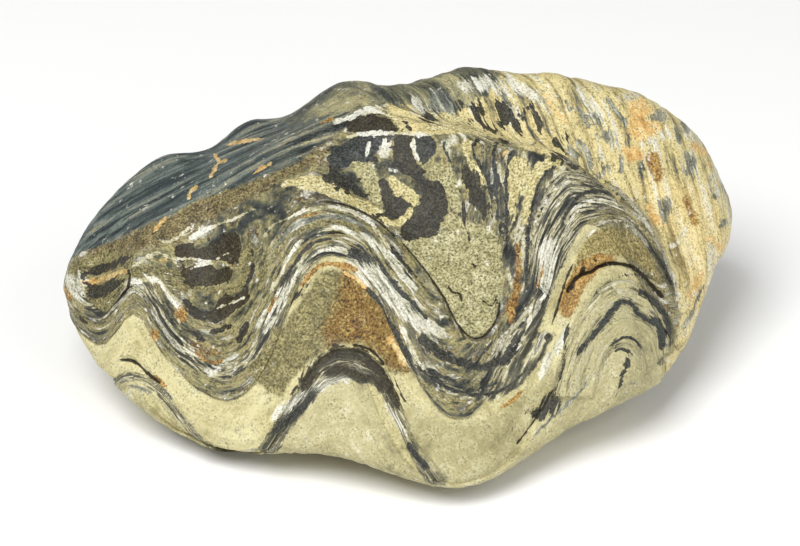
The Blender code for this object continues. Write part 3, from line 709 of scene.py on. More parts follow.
# How far sideways of the nearest marked line each point lies, left or right, and half that line's width there
def lineOffset(kind, u, v, seen):
    beside = 0.5  # millimetres past a line's edge that still count as that line's
    offset = np.full(len(u), markReach)
    half = np.full(len(u), noLine)
    tone = np.zeros(len(u))
    for width, points, *markTone in filter(isLine, photoMarks[kind].values()):
        path = smoothPath(points, spanPoints)
        near = nearMark(path, u, v, seen)
        x, y = u[near], v[near]
        best = np.full(len(near), 1e9)
        side, along = np.zeros(len(near)), np.zeros(len(near))
        for k, ((ax, ay), (bx, by)) in enumerate(zip(path[:-1], path[1:])):
            dx, dy = bx - ax, by - ay
            share = ((x - ax) * dx + (y - ay) * dy) / max(dx * dx + dy * dy, 1e-9)
            t = np.clip(share, 0, 1)
            away = np.hypot(x - ax - t * dx, y - ay - t * dy)
            closer = away < best
            best = np.where(closer, away, best)
            side = np.where(closer, np.where(dx * (y - ay) > dy * (x - ax), away, -away), side)
            along = np.where(closer, k + share, along)
        side /= pxPerMm
        taper = smoothStep(np.minimum(along, len(path) - 1 - along) / 2)
        halfWidth = width / 2 / pxPerMm
        tapered = halfWidth * taper + noLine * (1 - taper)
        halfHere = np.where(np.abs(side) < halfWidth + beside, tapered, noLine)
        closer = np.abs(side) < np.abs(offset[near])
        offset[near[closer]] = side[closer]
        half[near[closer]] = halfHere[closer]
        tone[near[closer]] = markTone[0] if markTone else plainTone
    return offset, half * seen + noLine * (1 - seen), tone


# The order of the layers at a point: its depth in the shell, and where wear and slow waves bring the layers
# obliquely to the surface. A wave has a height, a size in millimetres and a seed.
strataLook = {
    "dip": 0.06, "longWave": (0.45, (17, 17, 12), 11), "shortWave": (0.14, (5, 5, 4), 12),
    "topDrift": 0.50, "topDriftStart": -12, "topDriftFade": 14,
    "behindCrest": 2, "behindFade": 6, "wearSoftness": 1.5,
    # how deep wear has gone into the layers of the right front fold, along it from left to right
    "foldWear": [(6.0, -4.0), (9.0, 0.0), (16.0, 2.8), (19.0, 3.4), (25.0, 4.6), (30.0, 5.8), (36.0, 7.2),
                 (44.0, 8.8)]}
frontCrest = np.array(shell["folds"]["right front crest"], float)

# In the arches the layers lie nested between two curves of the photograph, the outer and the inner edge of
# each. Thickness is that of the layers there, and the nest fades out over its edge, in pixels.
nests = {
    "over the nose": {"thickness": 12.0, "edge": 5.0,
        "outer": [(522, 280), (525, 252), (531, 223), (538, 205), (546, 190), (556, 177), (566, 171),
            (582, 173), (600, 180), (620, 190), (640, 207), (652, 221), (666, 252), (673, 276), (678, 298)],
        "inner": [(556, 300), (561, 282), (567, 264), (575, 250), (588, 235), (600, 227), (613, 223),
            (625, 226), (635, 233), (645, 246), (655, 262), (663, 276), (670, 292)]},
    "in the nose": {"thickness": 11.0, "edge": 4.0,
        "outer": [(548, 400), (556, 372), (564, 346), (574, 320), (586, 300), (600, 286), (614, 279),
            (630, 279), (645, 287), (658, 299), (669, 314), (675, 332), (674, 352)],
        "inner": [(594, 400), (600, 376), (607, 358), (616, 349), (626, 346), (636, 352), (639, 366),
            (636, 384)]},
    "lower arch": {"thickness": 8.0, "edge": 4.0,
        "outer": [(254, 452), (268, 434), (282, 412), (294, 392), (306, 374), (318, 358), (331, 350),
            (345, 347), (362, 350), (378, 361), (389, 376), (398, 396), (407, 416), (418, 438), (432, 458),
            (452, 482)],
        "inner": [(274, 454), (290, 430), (304, 412), (316, 397), (326, 387), (338, 381), (348, 378),
            (360, 384), (372, 384), (382, 398), (390, 414), (398, 430), (405, 448), (414, 466), (428, 488)]},
    "lower left arch": {"thickness": 6.0, "edge": 3.0,
        "outer": [(104, 394), (112, 379), (124, 372), (138, 372), (152, 378), (166, 390), (182, 410),
            (200, 434), (222, 450)],
        "inner": [(112, 400), (120, 391), (130, 388), (142, 391), (154, 399), (168, 414), (186, 438),
            (206, 456)]},
}
nestSpanPoints = 3


def layerDepth(p):
    x, y, z = p.T
    return (folded(x, y) - z) / layerStretch(x, y)


def nestLayers(ordered, u, v, seen):
    for nest in nests.values():
        outer, inner = (smoothPath(nest[key], nestSpanPoints) for key in ("outer", "inner"))
        around = np.vstack([outer, inner[::-1], outer[:1]])
        near = nearMark(around, u, v, seen)
        x, y = u[near], v[near]
        within = smoothStep(insideBy(x, y, around) / nest["edge"]) * seen[near]
        fromOuter, fromInner = insideBy(x, y, outer, 0.0), insideBy(x, y, inner, 0.0)
        share = fromOuter / np.minimum(fromOuter + fromInner, -1e-6)
        ordered[near] += within * (share * nest["thickness"] - ordered[near])


def wave(p, height, size, seed):
    return height * softNoise(p, size, seed)


def strataOf(p, depth, u, v, seen):
    x, y, z = p.T
    waves = wave(p, *strataLook["longWave"]) + wave(p, *strataLook["shortWave"])
    pastCrest = y - np.interp(x, frontCrest[:, 0], frontCrest[:, 1]) - strataLook["behindCrest"]
    behindCrest = smoothStep(pastCrest / strataLook["behindFade"])
    foldWear = np.interp(x, *np.array(strataLook["foldWear"]).T)
    worn = smoothMax(depth, foldWear, strataLook["wearSoftness"])
    onTop = smoothStep((x - strataLook["topDriftStart"]) / strataLook["topDriftFade"])
    topDrift = strataLook["topDrift"] * (x + 0.5 * y) * onTop
    ordered = worn * (1 - behindCrest) + (depth + topDrift) * behindCrest - strataLook["dip"] * inward(x, y)
    nestLayers(ordered, u, v, seen)
    return ordered + waves


# The relief of the surface in millimetres: harder layers stand out a little, and cracks are open. Layers and
# bands have a height, how often they change in a millimetre along and across the layers, and a seed.
relief = {
    "layers": (0.16, 0.06, 1.5, 21), "bands": (0.20, 0.10, 0.7, 22),
    "slowWaves": (0.22, (9, 9, 7), 23), "pits": (0.10, (1.3, 1.3, 1.1), 26),
    # the rough olive floor of the middle valley
    "floorLumps": [(0.16, (2.2, 2.2, 1.8), 24), (0.16, (1.1, 1.1, 1.1), 25)],
    "floorFade": 1.5, "floorEdge": 0.3,
    "crack": 1.0, "crackHalf": 0.45, "fullCrack": 0.3, "restClearance": 0.2, "restFade": 1.5}


def reliefOf(p, normals, view):
    depth = layerDepth(p)
    u, v, seen = view.seen(p, normals)
    strata = strataOf(p, depth, u, v, seen)
    height = wave(p, *relief["slowWaves"]) + wave(p, *relief["pits"])
    for key in ("layers", "bands"):
        high, along, across, seed = relief[key]
        height += wave(np.column_stack([p[:, 0] * along, p[:, 1] * along, strata * across]), high, 1.0, seed)
    floor = np.clip(areaDistance("olive", u, v, seen)[0] / relief["floorFade"] + relief["floorEdge"], 0, 1)
    for lumps in relief["floorLumps"]:
        height += floor * wave(p, *lumps)
    offset, half, _ = lineOffset("crack", u, v, seen)
    gape = np.clip(half / relief["fullCrack"], 0, 1)
    height -= relief["crack"] * gape * np.exp(-(offset / relief["crackHalf"]) ** 2)
    return height * smoothStep((p[:, 2] - relief["restClearance"]) / relief["restFade"])


def newObject(name, bm):
    bmesh.ops.translate(bm, verts=bm.verts, vec=(*shell["shift"], 0.0))
    bmesh.ops.scale(bm, verts=bm.verts, vec=(mm, mm, mm))
    bmesh.ops.recalc_face_normals(bm, faces=bm.faces)
    mesh = bpy.data.meshes.new(name)
    bm.to_mesh(mesh)
    bm.free()
    item = bpy.data.objects.new(name, mesh)
    bpy.context.scene.collection.objects.link(item)
    return item


# The whole stone: a fine sphere whose points are moved along their rays to the worn surface, then off it by
# the relief
def wornStone(name, wear, view=None):
    centre = np.array(shell["sphereCentre"])
    bm = bmesh.new()
    bmesh.ops.create_icosphere(bm, subdivisions=shell["sphereSteps"], radius=1.0)
    rays = np.array([v.co for v in bm.verts]) * np.array(shell["spread"])
    rays /= np.linalg.norm(rays, axis=1)[:, None]
    near, far = np.zeros(len(rays)), np.full(len(rays), shell["spread"][0])
    for _ in range(shell["halvings"]):
        middle = (near + far) / 2
        isOut = outsideBy(centre + rays * middle[:, None]) > -wear
        far = np.where(isOut, middle, far)
        near = np.where(isOut, near, middle)
    points = centre + rays * near[:, None]
    view = view or PhotoView(points)
    normals = wornNormals(points)
    points = points + normals * reliefOf(points, normals, view)[:, None]
    points[:, 2] = np.maximum(points[:, 2], 0.0)
    for vert, place in zip(bm.verts, points):
        vert.co = place
    return newObject(name, bm), view


# A closed slab between two heights, its points one above the other with those of the slabs beside it
slabLook = {"width": 150.0, "ends": (-60.0, 62.0), "top": 70.0, "floor": -40.0, "columns": 90,
            "frontRows": 36, "backRows": 20, "merge": 0.01}


def slab(name, top, bottom, rows):
    bm = bmesh.new()
    bmesh.ops.create_grid(bm, x_segments=slabLook["columns"], y_segments=rows, size=0.5)
    bmesh.ops.triangulate(bm, faces=bm.faces)
    lower = bmesh.ops.extrude_face_region(bm, geom=list(bm.faces))
    lower = {item for item in lower["geom"] if isinstance(item, bmesh.types.BMVert)}
    verts = list(bm.verts)
    plan = np.array([v.co for v in verts])
    x = plan[:, 0] * slabLook["width"]
    edge = np.interp(x, *np.array(shell["sedimentBack"]).T)
    row = (plan[:, 1] + 0.5) * rows
    front, back = slabLook["ends"]
    inFront = front + (edge - front) * row / slabLook["frontRows"]
    behind = edge + (back - edge) * (row - slabLook["frontRows"]) / slabLook["backRows"]
    y = np.where(row <= slabLook["frontRows"], inFront, behind)
    isLower = np.array([v in lower for v in verts])
    z = np.where(isLower, bottom(x, y), top(x, y))
    for vert, place in zip(verts, np.column_stack([x, y, z])):
        vert.co = place
    bmesh.ops.remove_doubles(bm, verts=bm.verts, dist=slabLook["merge"])
    return newObject(name, bm)


def upperSheet(x, y):
    return folded(x, y) - (shell["upperValve"] + shell["seam"] / 2) * layerStretch(x, y)


def lowerSheet(x, y):
    swell = np.clip((np.interp(x, *np.array(shell["sedimentBack"]).T) - y) / shell["sedimentSwell"], 0, 1)
    fill = shell["sediment"] * swell * (2 - swell) + shell["seam"]
    return upperSheet(x, y) - fill * layerStretch(x, y)


def flatSheet(height):
    return lambda x, y: x * 0 + height


pieceLook = {"shortestEdge": 0.01, "mendPasses": 3, "widestGap": 16, "sharpDegrees": 50}


# The Boolean leaves a hair-thin flap or gap here and there. Flaps go and gaps are filled, so that a piece is
# closed.
def mendBoolean(bm):
    bmesh.ops.dissolve_degenerate(bm, edges=bm.edges, dist=pieceLook["shortestEdge"] * mm)
    bmesh.ops.triangulate(bm, faces=[f for f in bm.faces if len(f.verts) > 4])
    for _ in range(pieceLook["mendPasses"]):
        crowded = [edge for edge in bm.edges if len(edge.link_faces) > 2]
        flaps = {min(edge.link_faces, key=lambda face: face.calc_area()) for edge in crowded}
        bmesh.ops.delete(bm, geom=list(flaps), context="FACES")
    bmesh.ops.delete(bm, geom=[edge for edge in bm.edges if not edge.link_faces], context="EDGES")
    openEdges = [edge for edge in bm.edges if edge.is_boundary]
    bmesh.ops.holes_fill(bm, edges=openEdges, sides=pieceLook["widestGap"])


backLook = {"meetingX": 8.0, "softness": 4.0, "wander": (16.0, (22, 12, 9), 31), "fray": (7.0, (9, 4, 3), 32)}


# One piece: the stone where it and the slab share the same space, with what its material reads at each point
def cutPiece(name, stone, cutter, view):
    shared = stone.modifiers.new("shared space", "BOOLEAN")
    shared.operation = "INTERSECT"
    shared.solver = "EXACT"
    shared.object = cutter
    evaluated = stone.evaluated_get(bpy.context.evaluated_depsgraph_get())
    mesh = bpy.data.meshes.new_from_object(evaluated)
    mesh.validate()
    stone.modifiers.remove(shared)
    bm = bmesh.new()
    bm.from_mesh(mesh)
    mendBoolean(bm)
    bmesh.ops.recalc_face_normals(bm, faces=bm.faces)
    bm.to_mesh(mesh)
    bm.free()
    mesh.validate()
    mesh.name = name
    mesh.shade_smooth()
    mesh.set_sharp_from_angle(angle=math.radians(pieceLook["sharpDegrees"]))
    p = np.empty(len(mesh.vertices) * 3)
    mesh.vertices.foreach_get("co", p)
    p = p.reshape(-1, 3) / mm - np.array([*shell["shift"], 0.0])
    u, v, seen = view.seen(p, wornNormals(p))
    depth = layerDepth(p)
    values = {"depth": depth, "strata": strataOf(p, depth, u, v, seen), "seen": seen}
    for kind, marks in photoMarks.items():
        areaTone = lineTone = None
        if not all(map(isLine, marks.values())):
            values[kind], areaTone = areaDistance(kind, u, v, seen)
        if any(map(isLine, marks.values())):
            values[kind + "Offset"], values[kind + "Half"], lineTone = lineOffset(kind, u, v, seen)
        if kind == "dark":
            values["tone"] = np.where(values["darkHalf"] > 0, lineTone, areaTone)
    # where the photograph shows nothing, the side colours of the upper valve run on round the back, and meet
    # along a ragged line
    if name == "upperValve":
        ragged = wave(p, *backLook["wander"]) + wave(p, *backLook["fray"])
        meeting = (backLook["meetingX"] - p[:, 0] + ragged) / backLook["softness"]
        values["flank"] += (1 - seen) * (markReach + np.clip(meeting, -markReach, markReach))
        values["top"] += (1 - seen) * (markReach + np.clip(1 - meeting, -markReach, markReach))
    for key, numbers in values.items():
        mesh.attributes.new(key, "FLOAT", "POINT").data.foreach_set("value", numbers.astype(np.float32))
    item = bpy.data.objects.new(name, mesh)
    bpy.context.scene.collection.objects.link(item)
    print(f"{name}: {len(mesh.polygons)} faces")
    return item


stone, photoView = wornStone("stone", 0.0)
backStone, _ = wornStone("worn back stone", shell["sedimentWear"], photoView)
print("stone shaped")
allRows = slabLook["frontRows"] + slabLook["backRows"]
above = slab("above", flatSheet(slabLook["top"]), upperSheet, allRows)
between = slab("between", upperSheet, lowerSheet, slabLook["frontRows"])
below = slab("below", lowerSheet, flatSheet(slabLook["floor"]), allRows)
upperValve = cutPiece("upperValve", stone, above, photoView)
sedimentFill = cutPiece("sedimentFill", backStone, between, photoView)
lowerValve = cutPiece("lowerValve", stone, below, photoView)
for helper in (stone, backStone, above, between, below):
    bpy.data.objects.remove(helper)
for item, node in ((upperValve, "upper_valve"), (sedimentFill, "sediment"), (lowerValve, "lower_valve")):
    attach(item, "root")
    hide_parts(node)


def srgb(hexcode):
    channels = [int(hexcode[i:i + 2], 16) / 255 for i in (1, 3, 5)]
    return (*[c / 12.92 if c <= 0.04045 else ((c + 0.055) / 1.055) ** 2.4 for c in channels], 1.0)


# Adds one shader node, with a number or a link on each socket named, and gives back the output that is used
def addNode(tree, kind, inputs=None, out=0, stops=(), **settings):
    node = tree.nodes.new("ShaderNode" + kind)
    for key, value in settings.items():
        setattr(node, key, value)
    for key, value in (inputs or {}).items():
        if isinstance(value, bpy.types.NodeSocket):
            tree.links.new(value, node.inputs[key])
        else:
            node.inputs[key].default_value = value
    while stops and len(node.color_ramp.elements) < len(stops):
        node.color_ramp.elements.new(0.5)
    for element, (place, colour) in zip(node.color_ramp.elements if stops else (), stops):
        element.position = place
        element.color = srgb(colour)
    return node.outputs[out] if node.outputs else None


# What lies over the layers, from the first painted to the last: how wide its edge is and how far noise breaks
# it, in mm, how far the fine layers fray it, how much of the layers it covers, and its colours over the grain
# it follows. A name that starts with "line" is for its lines, and the others are for its areas.
overlays = {
    "sandy": {"edge": 0.8, "broken": 3.0, "cover": 0.92, "grain": "speckle",
              "stops": [(0.38, "#42392a"), (0.45, "#6a5f43"), (0.51, "#887c5a"), (0.60, "#aea279")]},
    "flank": {"edge": 0.5, "broken": 1.6, "cover": 1.0, "grain": "stripes",
              "stops": [(0.30, "#30373a"), (0.42, "#4d5757"), (0.50, "#6b7571"), (0.58, "#878f88"),
                        (0.66, "#a19f8a"), (0.76, "#c2b890")]},
    "top": {"edge": 0.6, "broken": 2.0, "cover": 1.0, "grain": "layers",
            "stops": [(0.30, "#45484a"), (0.37, "#696c68"), (0.42, "#a89e76"), (0.48, "#dccf9c"),
                      (0.57, "#e6daaa"), (0.62, "#e2e3d8"), (0.67, "#8f958f"), (0.76, "#585d5a")]},
    "topDark": {"edge": 0.8, "broken": 3.0, "cover": 0.95, "grain": "layers",
                "stops": [(0.32, "#414541"), (0.44, "#5f6258"), (0.50, "#7b7b66"), (0.57, "#98967a"),
                          (0.64, "#c1b98f"), (0.76, "#6c7069")]},
    "mud": {"edge": 1.0, "broken": 1.8, "cover": 0.94, "grain": "speckle",
            "stops": [(0.38, "#4e492f"), (0.45, "#777150"), (0.51, "#908961"), (0.57, "#a69e73"),
                      (0.64, "#c0b88c")]},
    "rustFill": {"edge": 3.0, "broken": 5.0, "cover": 0.88, "grain": "speckle",
                 "stops": [(0.39, "#3c3019"), (0.45, "#72572d"), (0.50, "#9b753a"), (0.54, "#8b7f51"),
                           (0.58, "#b89653"), (0.64, "#cfbe88")]},
    "laminae": {"edge": 0.5, "broken": 1.6, "cover": 0.9, "grain": "fineLayers",
                "stops": [(0.34, "#1f2120"), (0.44, "#434644"), (0.50, "#716f65"), (0.54, "#b7b088"),
                          (0.58, "#dedbc4"), (0.64, "#6f6e66"), (0.72, "#e8e6d8")]},
    "brownBand": {"edge": 1.0, "broken": 1.8, "cover": 0.92, "grain": "speckle",
                  "stops": [(0.38, "#635832"), (0.45, "#8d8152"), (0.51, "#a89b69"), (0.60, "#c6bb8a")]},
    "dullFill": {"edge": 3.0, "broken": 5.0, "cover": 0.9, "grain": "massive",
                 "stops": [(0.36, "#858160"), (0.43, "#a6a07a"), (0.51, "#bab38b"), (0.60, "#cfcaa6")]},
    "faint": {"edge": 2.0, "broken": 3.0, "cover": 0.72, "grain": "fineLayers",
              "stops": [(0.34, "#5d5c50"), (0.42, "#8f8a6e"), (0.47, "#bdb78f"), (0.52, "#d6cfa5"),
                        (0.57, "#aaa486"), (0.61, "#dcd8bf"), (0.68, "#77766b")]},
    "lobe": {"edge": 3.0, "broken": 4.0, "cover": 0.85, "grain": "massive",
             "stops": [(0.36, "#b3a06e"), (0.43, "#dccb94"), (0.51, "#efdfab"), (0.60, "#f4ecd2")]},
    "cream": {"edge": 0.3, "broken": 0.9, "cover": 0.9, "grain": "speckle", "frayed": 3.0,
              "stops": [(0.38, "#978d62"), (0.46, "#ccc18d"), (0.58, "#e8e0b6")]},
    "olive": {"edge": 0.6, "broken": 1.4, "cover": 0.9, "grain": "speckle",
              "stops": [(0.37, "#6a6545"), (0.45, "#a09b72"), (0.52, "#bdb78e"), (0.62, "#d8d3ae")]},
    "pale": {"edge": 0.7, "broken": 2.0, "cover": 0.85, "grain": "fineLayers", "frayed": 6.0,
             "stops": [(0.32, "#5f635f"), (0.41, "#a3a494"), (0.48, "#d6d4c0"), (0.62, "#efeee4")]},
    "grey": {"edge": 0.5, "broken": 1.4, "cover": 0.85, "grain": "fineLayers", "lineBroken": 1.2,
             "frayed": 6.0, "lineFrayed": 2.0,
             "stops": [(0.34, "#454a48"), (0.46, "#6f746e"), (0.56, "#9b9e93"), (0.66, "#d3d3c4")]},
    "ochre": {"edge": 0.9, "broken": 2.6, "cover": 0.82, "grain": "mottle", "lineBroken": 1.4,
              "stops": [(0.30, "#aa844f"), (0.42, "#d9ae6c"), (0.52, "#edcf92"), (0.66, "#f2e4b8")]},
    "rust": {"edge": 0.6, "broken": 1.8, "cover": 0.85, "grain": "speckle", "lineBroken": 1.4,
             "stops": [(0.38, "#54401f"), (0.45, "#8c6a38"), (0.51, "#b58d4a"), (0.57, "#c9a764"),
                       (0.64, "#d6c592")]},
    "dark": {"edge": 0.16, "broken": 1.5, "cover": 0.94, "grain": "grain", "lineBroken": 1.2,
             "frayed": 7.0, "lineFrayed": 3.0,
             "stops": [(0.30, "#262115"), (0.50, "#3b3422"), (0.66, "#5a5139")]},
    "vein": {"edge": 0.18, "broken": 0.45, "cover": 0.88, "grain": "fineLayers", "lineBroken": 1.5,
             "lineFrayed": 2.0,
             "stops": [(0.32, "#a3a08a"), (0.46, "#d2ccaa"), (0.60, "#f0efe4")]},
    "crack": {"edge": 0.14, "broken": 0.25, "cover": 0.93, "grain": "grain", "lineBroken": 0.7,
              "stops": [(0.30, "#1c1914"), (0.60, "#3a3225")]},
}
brownFlank = [(0.30, "#404139"), (0.42, "#636354"), (0.50, "#82806f"), (0.57, "#9f9b82"), (0.63, "#c9be93"),
              (0.72, "#dfd5ab")]
speckStops = [(0.36, "#a19f97"), (0.46, "#e3e2dd"), (0.56, "#ffffff")]
coolDark = [(0.30, "#212527"), (0.50, "#353a3a"), (0.66, "#585d5b")]


# Noises of the stone itself: how many times each repeats in a millimetre, its detail and its roughness
plainNoises = {"grain": (2.6, 3.0, 0.65), "mottle": (0.55, 5.0, 0.72), "breakUp": (0.8, 4.0, 0.6),
               "cloud": (0.13, 4.0, 0.6)}
# Noises that run along the layers: how fast they change along them, as a share of across them, what the
# piece's look calls their number in a millimetre, then detail, roughness and distortion
layeredNoises = {
    "layers": (0.07, "bandsPerMm", 5.0, 0.68, 0.1), "fineLayers": (0.10, "linesPerMm", 3.0, 0.6, 0.0),
    "chips": (0.4, "chipsPerMm", 2.0, 0.5, 0.0)}
# What the three pieces have in common. A range is the values of a noise, or of millimetres to the right for
# the brown of the flank, between which something goes from none to all. A wander is how far noise moves an
# edge. The deep layers of the lower valve are plain, and start at its "deepFrom".
stoneLook = {
    "stripeTurn": (0.0, -25.0, 12.0), "stripeSize": (26.0, 1.5, 1.5), "stripeDetail": 4.0,
    "stripeRoughness": 0.6, "stripeDistortion": 0.2, "speckleShare": 0.5, "cloudShare": 0.45,
    "lineRange": (0.38, 0.6), "deepWander": 2.2, "deepFade": 0.7, "deepSeen": 6.0,
    "areaCentre": 0.5, "lineCentre": 0.47, "lineEdge": 0.08,
    "brownWander": 60.0, "brownRange": (2.0, 26.0),
    "chipRange": (0.60, 0.66), "chipPlaces": (0.50, 0.6), "chipsOnDark": 0.07, "chipColour": "#eceadf",
    "speckRange": (0.40, 0.58), "gamma": 1.2, "roughRange": (0.3, 0.7), "darkRoughness": 0.42,
    "grainHeight": 0.55, "reliefMm": 0.35, "ior": 1.5, "specular": 0.3}


# Oyster shell turned to stone and polished: thin layers of grey, white, cream and brown run along the strata,
# and a low satin gloss lies over dark smooth patches and rougher chalky ones
def polishedShell(name, look):
    material = bpy.data.materials.new(name)
    material.use_nodes = True
    tree = material.node_tree
    tree.nodes.clear()
    add = functools.partial(addNode, tree)
    place = add("TexCoord", out="Object")
    inMm = add("VectorMath", {0: place, "Scale": 1 / mm}, operation="SCALE")
    strata = add("Attribute", attribute_name="strata", out="Fac")
    grains = {}
    for key, (perMm, detail, rough) in plainNoises.items():
        grains[key] = add("TexNoise", {"Vector": inMm, "Scale": perMm, "Detail": detail, "Roughness": rough})
    for key, (share, perMm, detail, rough, distortion) in layeredNoises.items():
        along = add("VectorMath", {0: inMm, "Scale": share}, operation="SCALE")
        grains[key] = add("TexNoise", {"Vector": along, "W": strata, "Scale": look[perMm], "Detail": detail,
                                       "Roughness": rough, "Distortion": distortion}, noise_dimensions="4D")
    grain, mottle, breakUp, fineLayers = (grains[key] for key in ("grain", "mottle", "breakUp", "fineLayers"))
    turn = tuple(math.radians(angle) for angle in stoneLook["stripeTurn"])
    turned = add("Mapping", {"Vector": inMm, "Rotation": turn, "Scale": stoneLook["stripeSize"]},
                 vector_type="TEXTURE")
    stripes = add("TexNoise", {"Vector": turned, "Scale": 1.0, "Detail": stoneLook["stripeDetail"],
                               "Roughness": stoneLook["stripeRoughness"],
                               "Distortion": stoneLook["stripeDistortion"]})
    speckle = add("Mix", {0: stoneLook["speckleShare"], 2: mottle, 3: grain}, data_type="FLOAT")
    massive = add("Mix", {0: stoneLook["cloudShare"], 2: mottle, 3: grains["cloud"]}, data_type="FLOAT")
    massive = add("Mix", {0: look["layered"], 2: massive, 3: grains["layers"]}, data_type="FLOAT")
    grains.update(stripes=stripes, speckle=speckle, massive=massive)

    bands = add("ValToRGB", {0: grains[look["bandGrain"]]}, stops=look["bands"])
    lines = add("ValToRGB", {0: fineLayers}, stops=look["lines"])
    low, high = stoneLook["lineRange"]
    lineShare = add("MapRange", {0: mottle, "From Min": low, "From Max": high, "To Min": look["fewestLines"],
                                 "To Max": look["mostLines"]})
    colour = add("Mix", {0: lineShare, 6: bands, 7: lines}, out=2, data_type="RGBA")
    if "deepFrom" in look:
        depth = add("Attribute", attribute_name="depth", out="Fac")
        seen = add("Attribute", attribute_name="seen", out="Fac")
        wander = stoneLook["deepWander"]
        deeper = add("Math", {0: breakUp, 1: wander, 2: -wander / 2}, operation="MULTIPLY_ADD")
        deeper = add("Math", {0: depth, 1: deeper}, operation="ADD")
        deeper = add("Math", {0: seen, 1: stoneLook["deepSeen"], 2: deeper}, operation="MULTIPLY_ADD")
        deepShare = add("MapRange", {0: deeper, "From Min": look["deepFrom"],
                                     "From Max": look["deepFrom"] + stoneLook["deepFade"]})
        deep = add("ValToRGB", {0: massive}, stops=look["deep"])
        colour = add("Mix", {0: deepShare, 6: colour, 7: deep}, out=2, data_type="RGBA")
    streaks = add("Math", {0: fineLayers, 1: 0.5}, operation="SUBTRACT")

    covers = {}
    for kind, overlay in overlays.items():
        # each overlay is inside its areas or its lines by a distance, which noise and the layers fray
        parts = []
        if not all(map(isLine, photoMarks[kind].values())):
            inside = add("Attribute", attribute_name=kind, out="Fac")
            parts.append((inside, overlay["broken"], stoneLook["areaCentre"], overlay.get("frayed", 0.0),
                          overlay["edge"] / 2))
        if any(map(isLine, photoMarks[kind].values())):
            offset = add("Attribute", attribute_name=kind + "Offset", out="Fac")
            half = add("Attribute", attribute_name=kind + "Half", out="Fac")
            offset = add("Math", {0: offset}, operation="ABSOLUTE")
            inside = add("Math", {0: half, 1: offset}, operation="SUBTRACT")
            parts.append((inside, overlay["lineBroken"], stoneLook["lineCentre"],
                          overlay.get("lineFrayed", 0.0), stoneLook["lineEdge"]))
        shares = []
        for inside, broken, centre, frayed, edge in parts:
            wander = add("Math", {0: breakUp, 1: broken, 2: -centre * broken}, operation="MULTIPLY_ADD")
            wander = add("Math", {0: streaks, 1: frayed, 2: wander}, operation="MULTIPLY_ADD")
            inside = add("Math", {0: inside, 1: wander}, operation="ADD")
            shares.append(add("MapRange", {0: inside, "From Min": -edge, "From Max": edge,
                                           "To Max": overlay["cover"]}, interpolation_type="SMOOTHSTEP"))
        share = shares[0]
        if len(shares) > 1:
            share = add("Math", {0: shares[0], 1: shares[1]}, operation="MAXIMUM")
        covers[kind] = share
        paint = add("ValToRGB", {0: grains[overlay["grain"]]}, stops=overlay["stops"])
        if kind == "flank":
            across = add("SeparateXYZ", {0: inMm}, out="X")
            brownness = add("Math", {0: breakUp, 1: stoneLook["brownWander"], 2: across},
                            operation="MULTIPLY_ADD")
            low, high = stoneLook["brownRange"]
            brownness = add("MapRange", {0: brownness, "From Min": low, "From Max": high})
            brown = add("ValToRGB", {0: stripes}, stops=brownFlank)
            paint = add("Mix", {0: brownness, 6: paint, 7: brown}, out=2, data_type="RGBA")
        if kind == "dark":
            cool = add("ValToRGB", {0: grain}, stops=coolDark)
            tone = add("Attribute", attribute_name="tone", out="Fac")
            paint = add("Mix", {0: tone, 6: paint, 7: cool}, out=2, data_type="RGBA")
        colour = add("Mix", {0: share, 6: colour, 7: paint}, out=2, data_type="RGBA")

    # white chips along the layers, fewer on the dark patches, then a fine dark and light speckle over all
    low, high = stoneLook["chipRange"]
    chips = add("MapRange", {0: grains["chips"], "From Min": low, "From Max": high, "To Max": look["chips"]})
    low, high = stoneLook["chipPlaces"]
    where = add("MapRange", {0: breakUp, "From Min": low, "From Max": high})
    chips = add("Math", {0: chips, 1: where}, operation="MULTIPLY")
    offDark = add("Math", {0: covers["dark"], 1: stoneLook["chipsOnDark"] - 1, 2: 1.0},
                  operation="MULTIPLY_ADD")
    chips = add("Math", {0: chips, 1: offDark}, operation="MULTIPLY")
    colour = add("Mix", {0: chips, 6: colour, 7: srgb(stoneLook["chipColour"])}, out=2, data_type="RGBA")
    specks = add("ValToRGB", {0: grain}, stops=speckStops)
    low, high = stoneLook["speckRange"]
    speckShare = add("MapRange", {0: mottle, "From Min": low, "From Max": high,
                                  "To Min": look["fewestSpecks"], "To Max": look["mostSpecks"]})
    colour = add("Mix", {0: speckShare, 6: colour, 7: specks}, out=2, data_type="RGBA", blend_type="MULTIPLY")
    colour = add("Gamma", {"Color": colour, "Gamma": stoneLook["gamma"]})

    low, high = stoneLook["roughRange"]
    rough = add("MapRange", {0: mottle, "From Min": low, "From Max": high, "To Min": look["smoothest"],
                             "To Max": look["roughest"]})
    rough = add("Mix", {0: covers["dark"], 2: rough, 3: stoneLook["darkRoughness"]}, data_type="FLOAT")
    height = add("Math", {0: grain, 1: stoneLook["grainHeight"], 2: fineLayers}, operation="MULTIPLY_ADD")
    height = add("Math", {0: height, 1: covers["crack"]}, operation="SUBTRACT")
    bump = add("Bump", {"Height": height, "Strength": look["bump"], "Distance": stoneLook["reliefMm"] * mm})
    surface = add("BsdfPrincipled", {
        "Base Color": colour, "Roughness": rough, "Normal": bump, "Metallic": 0.0, "IOR": stoneLook["ior"],
        "Specular IOR Level": stoneLook["specular"]})
    add("OutputMaterial", {"Surface": surface})
    return material


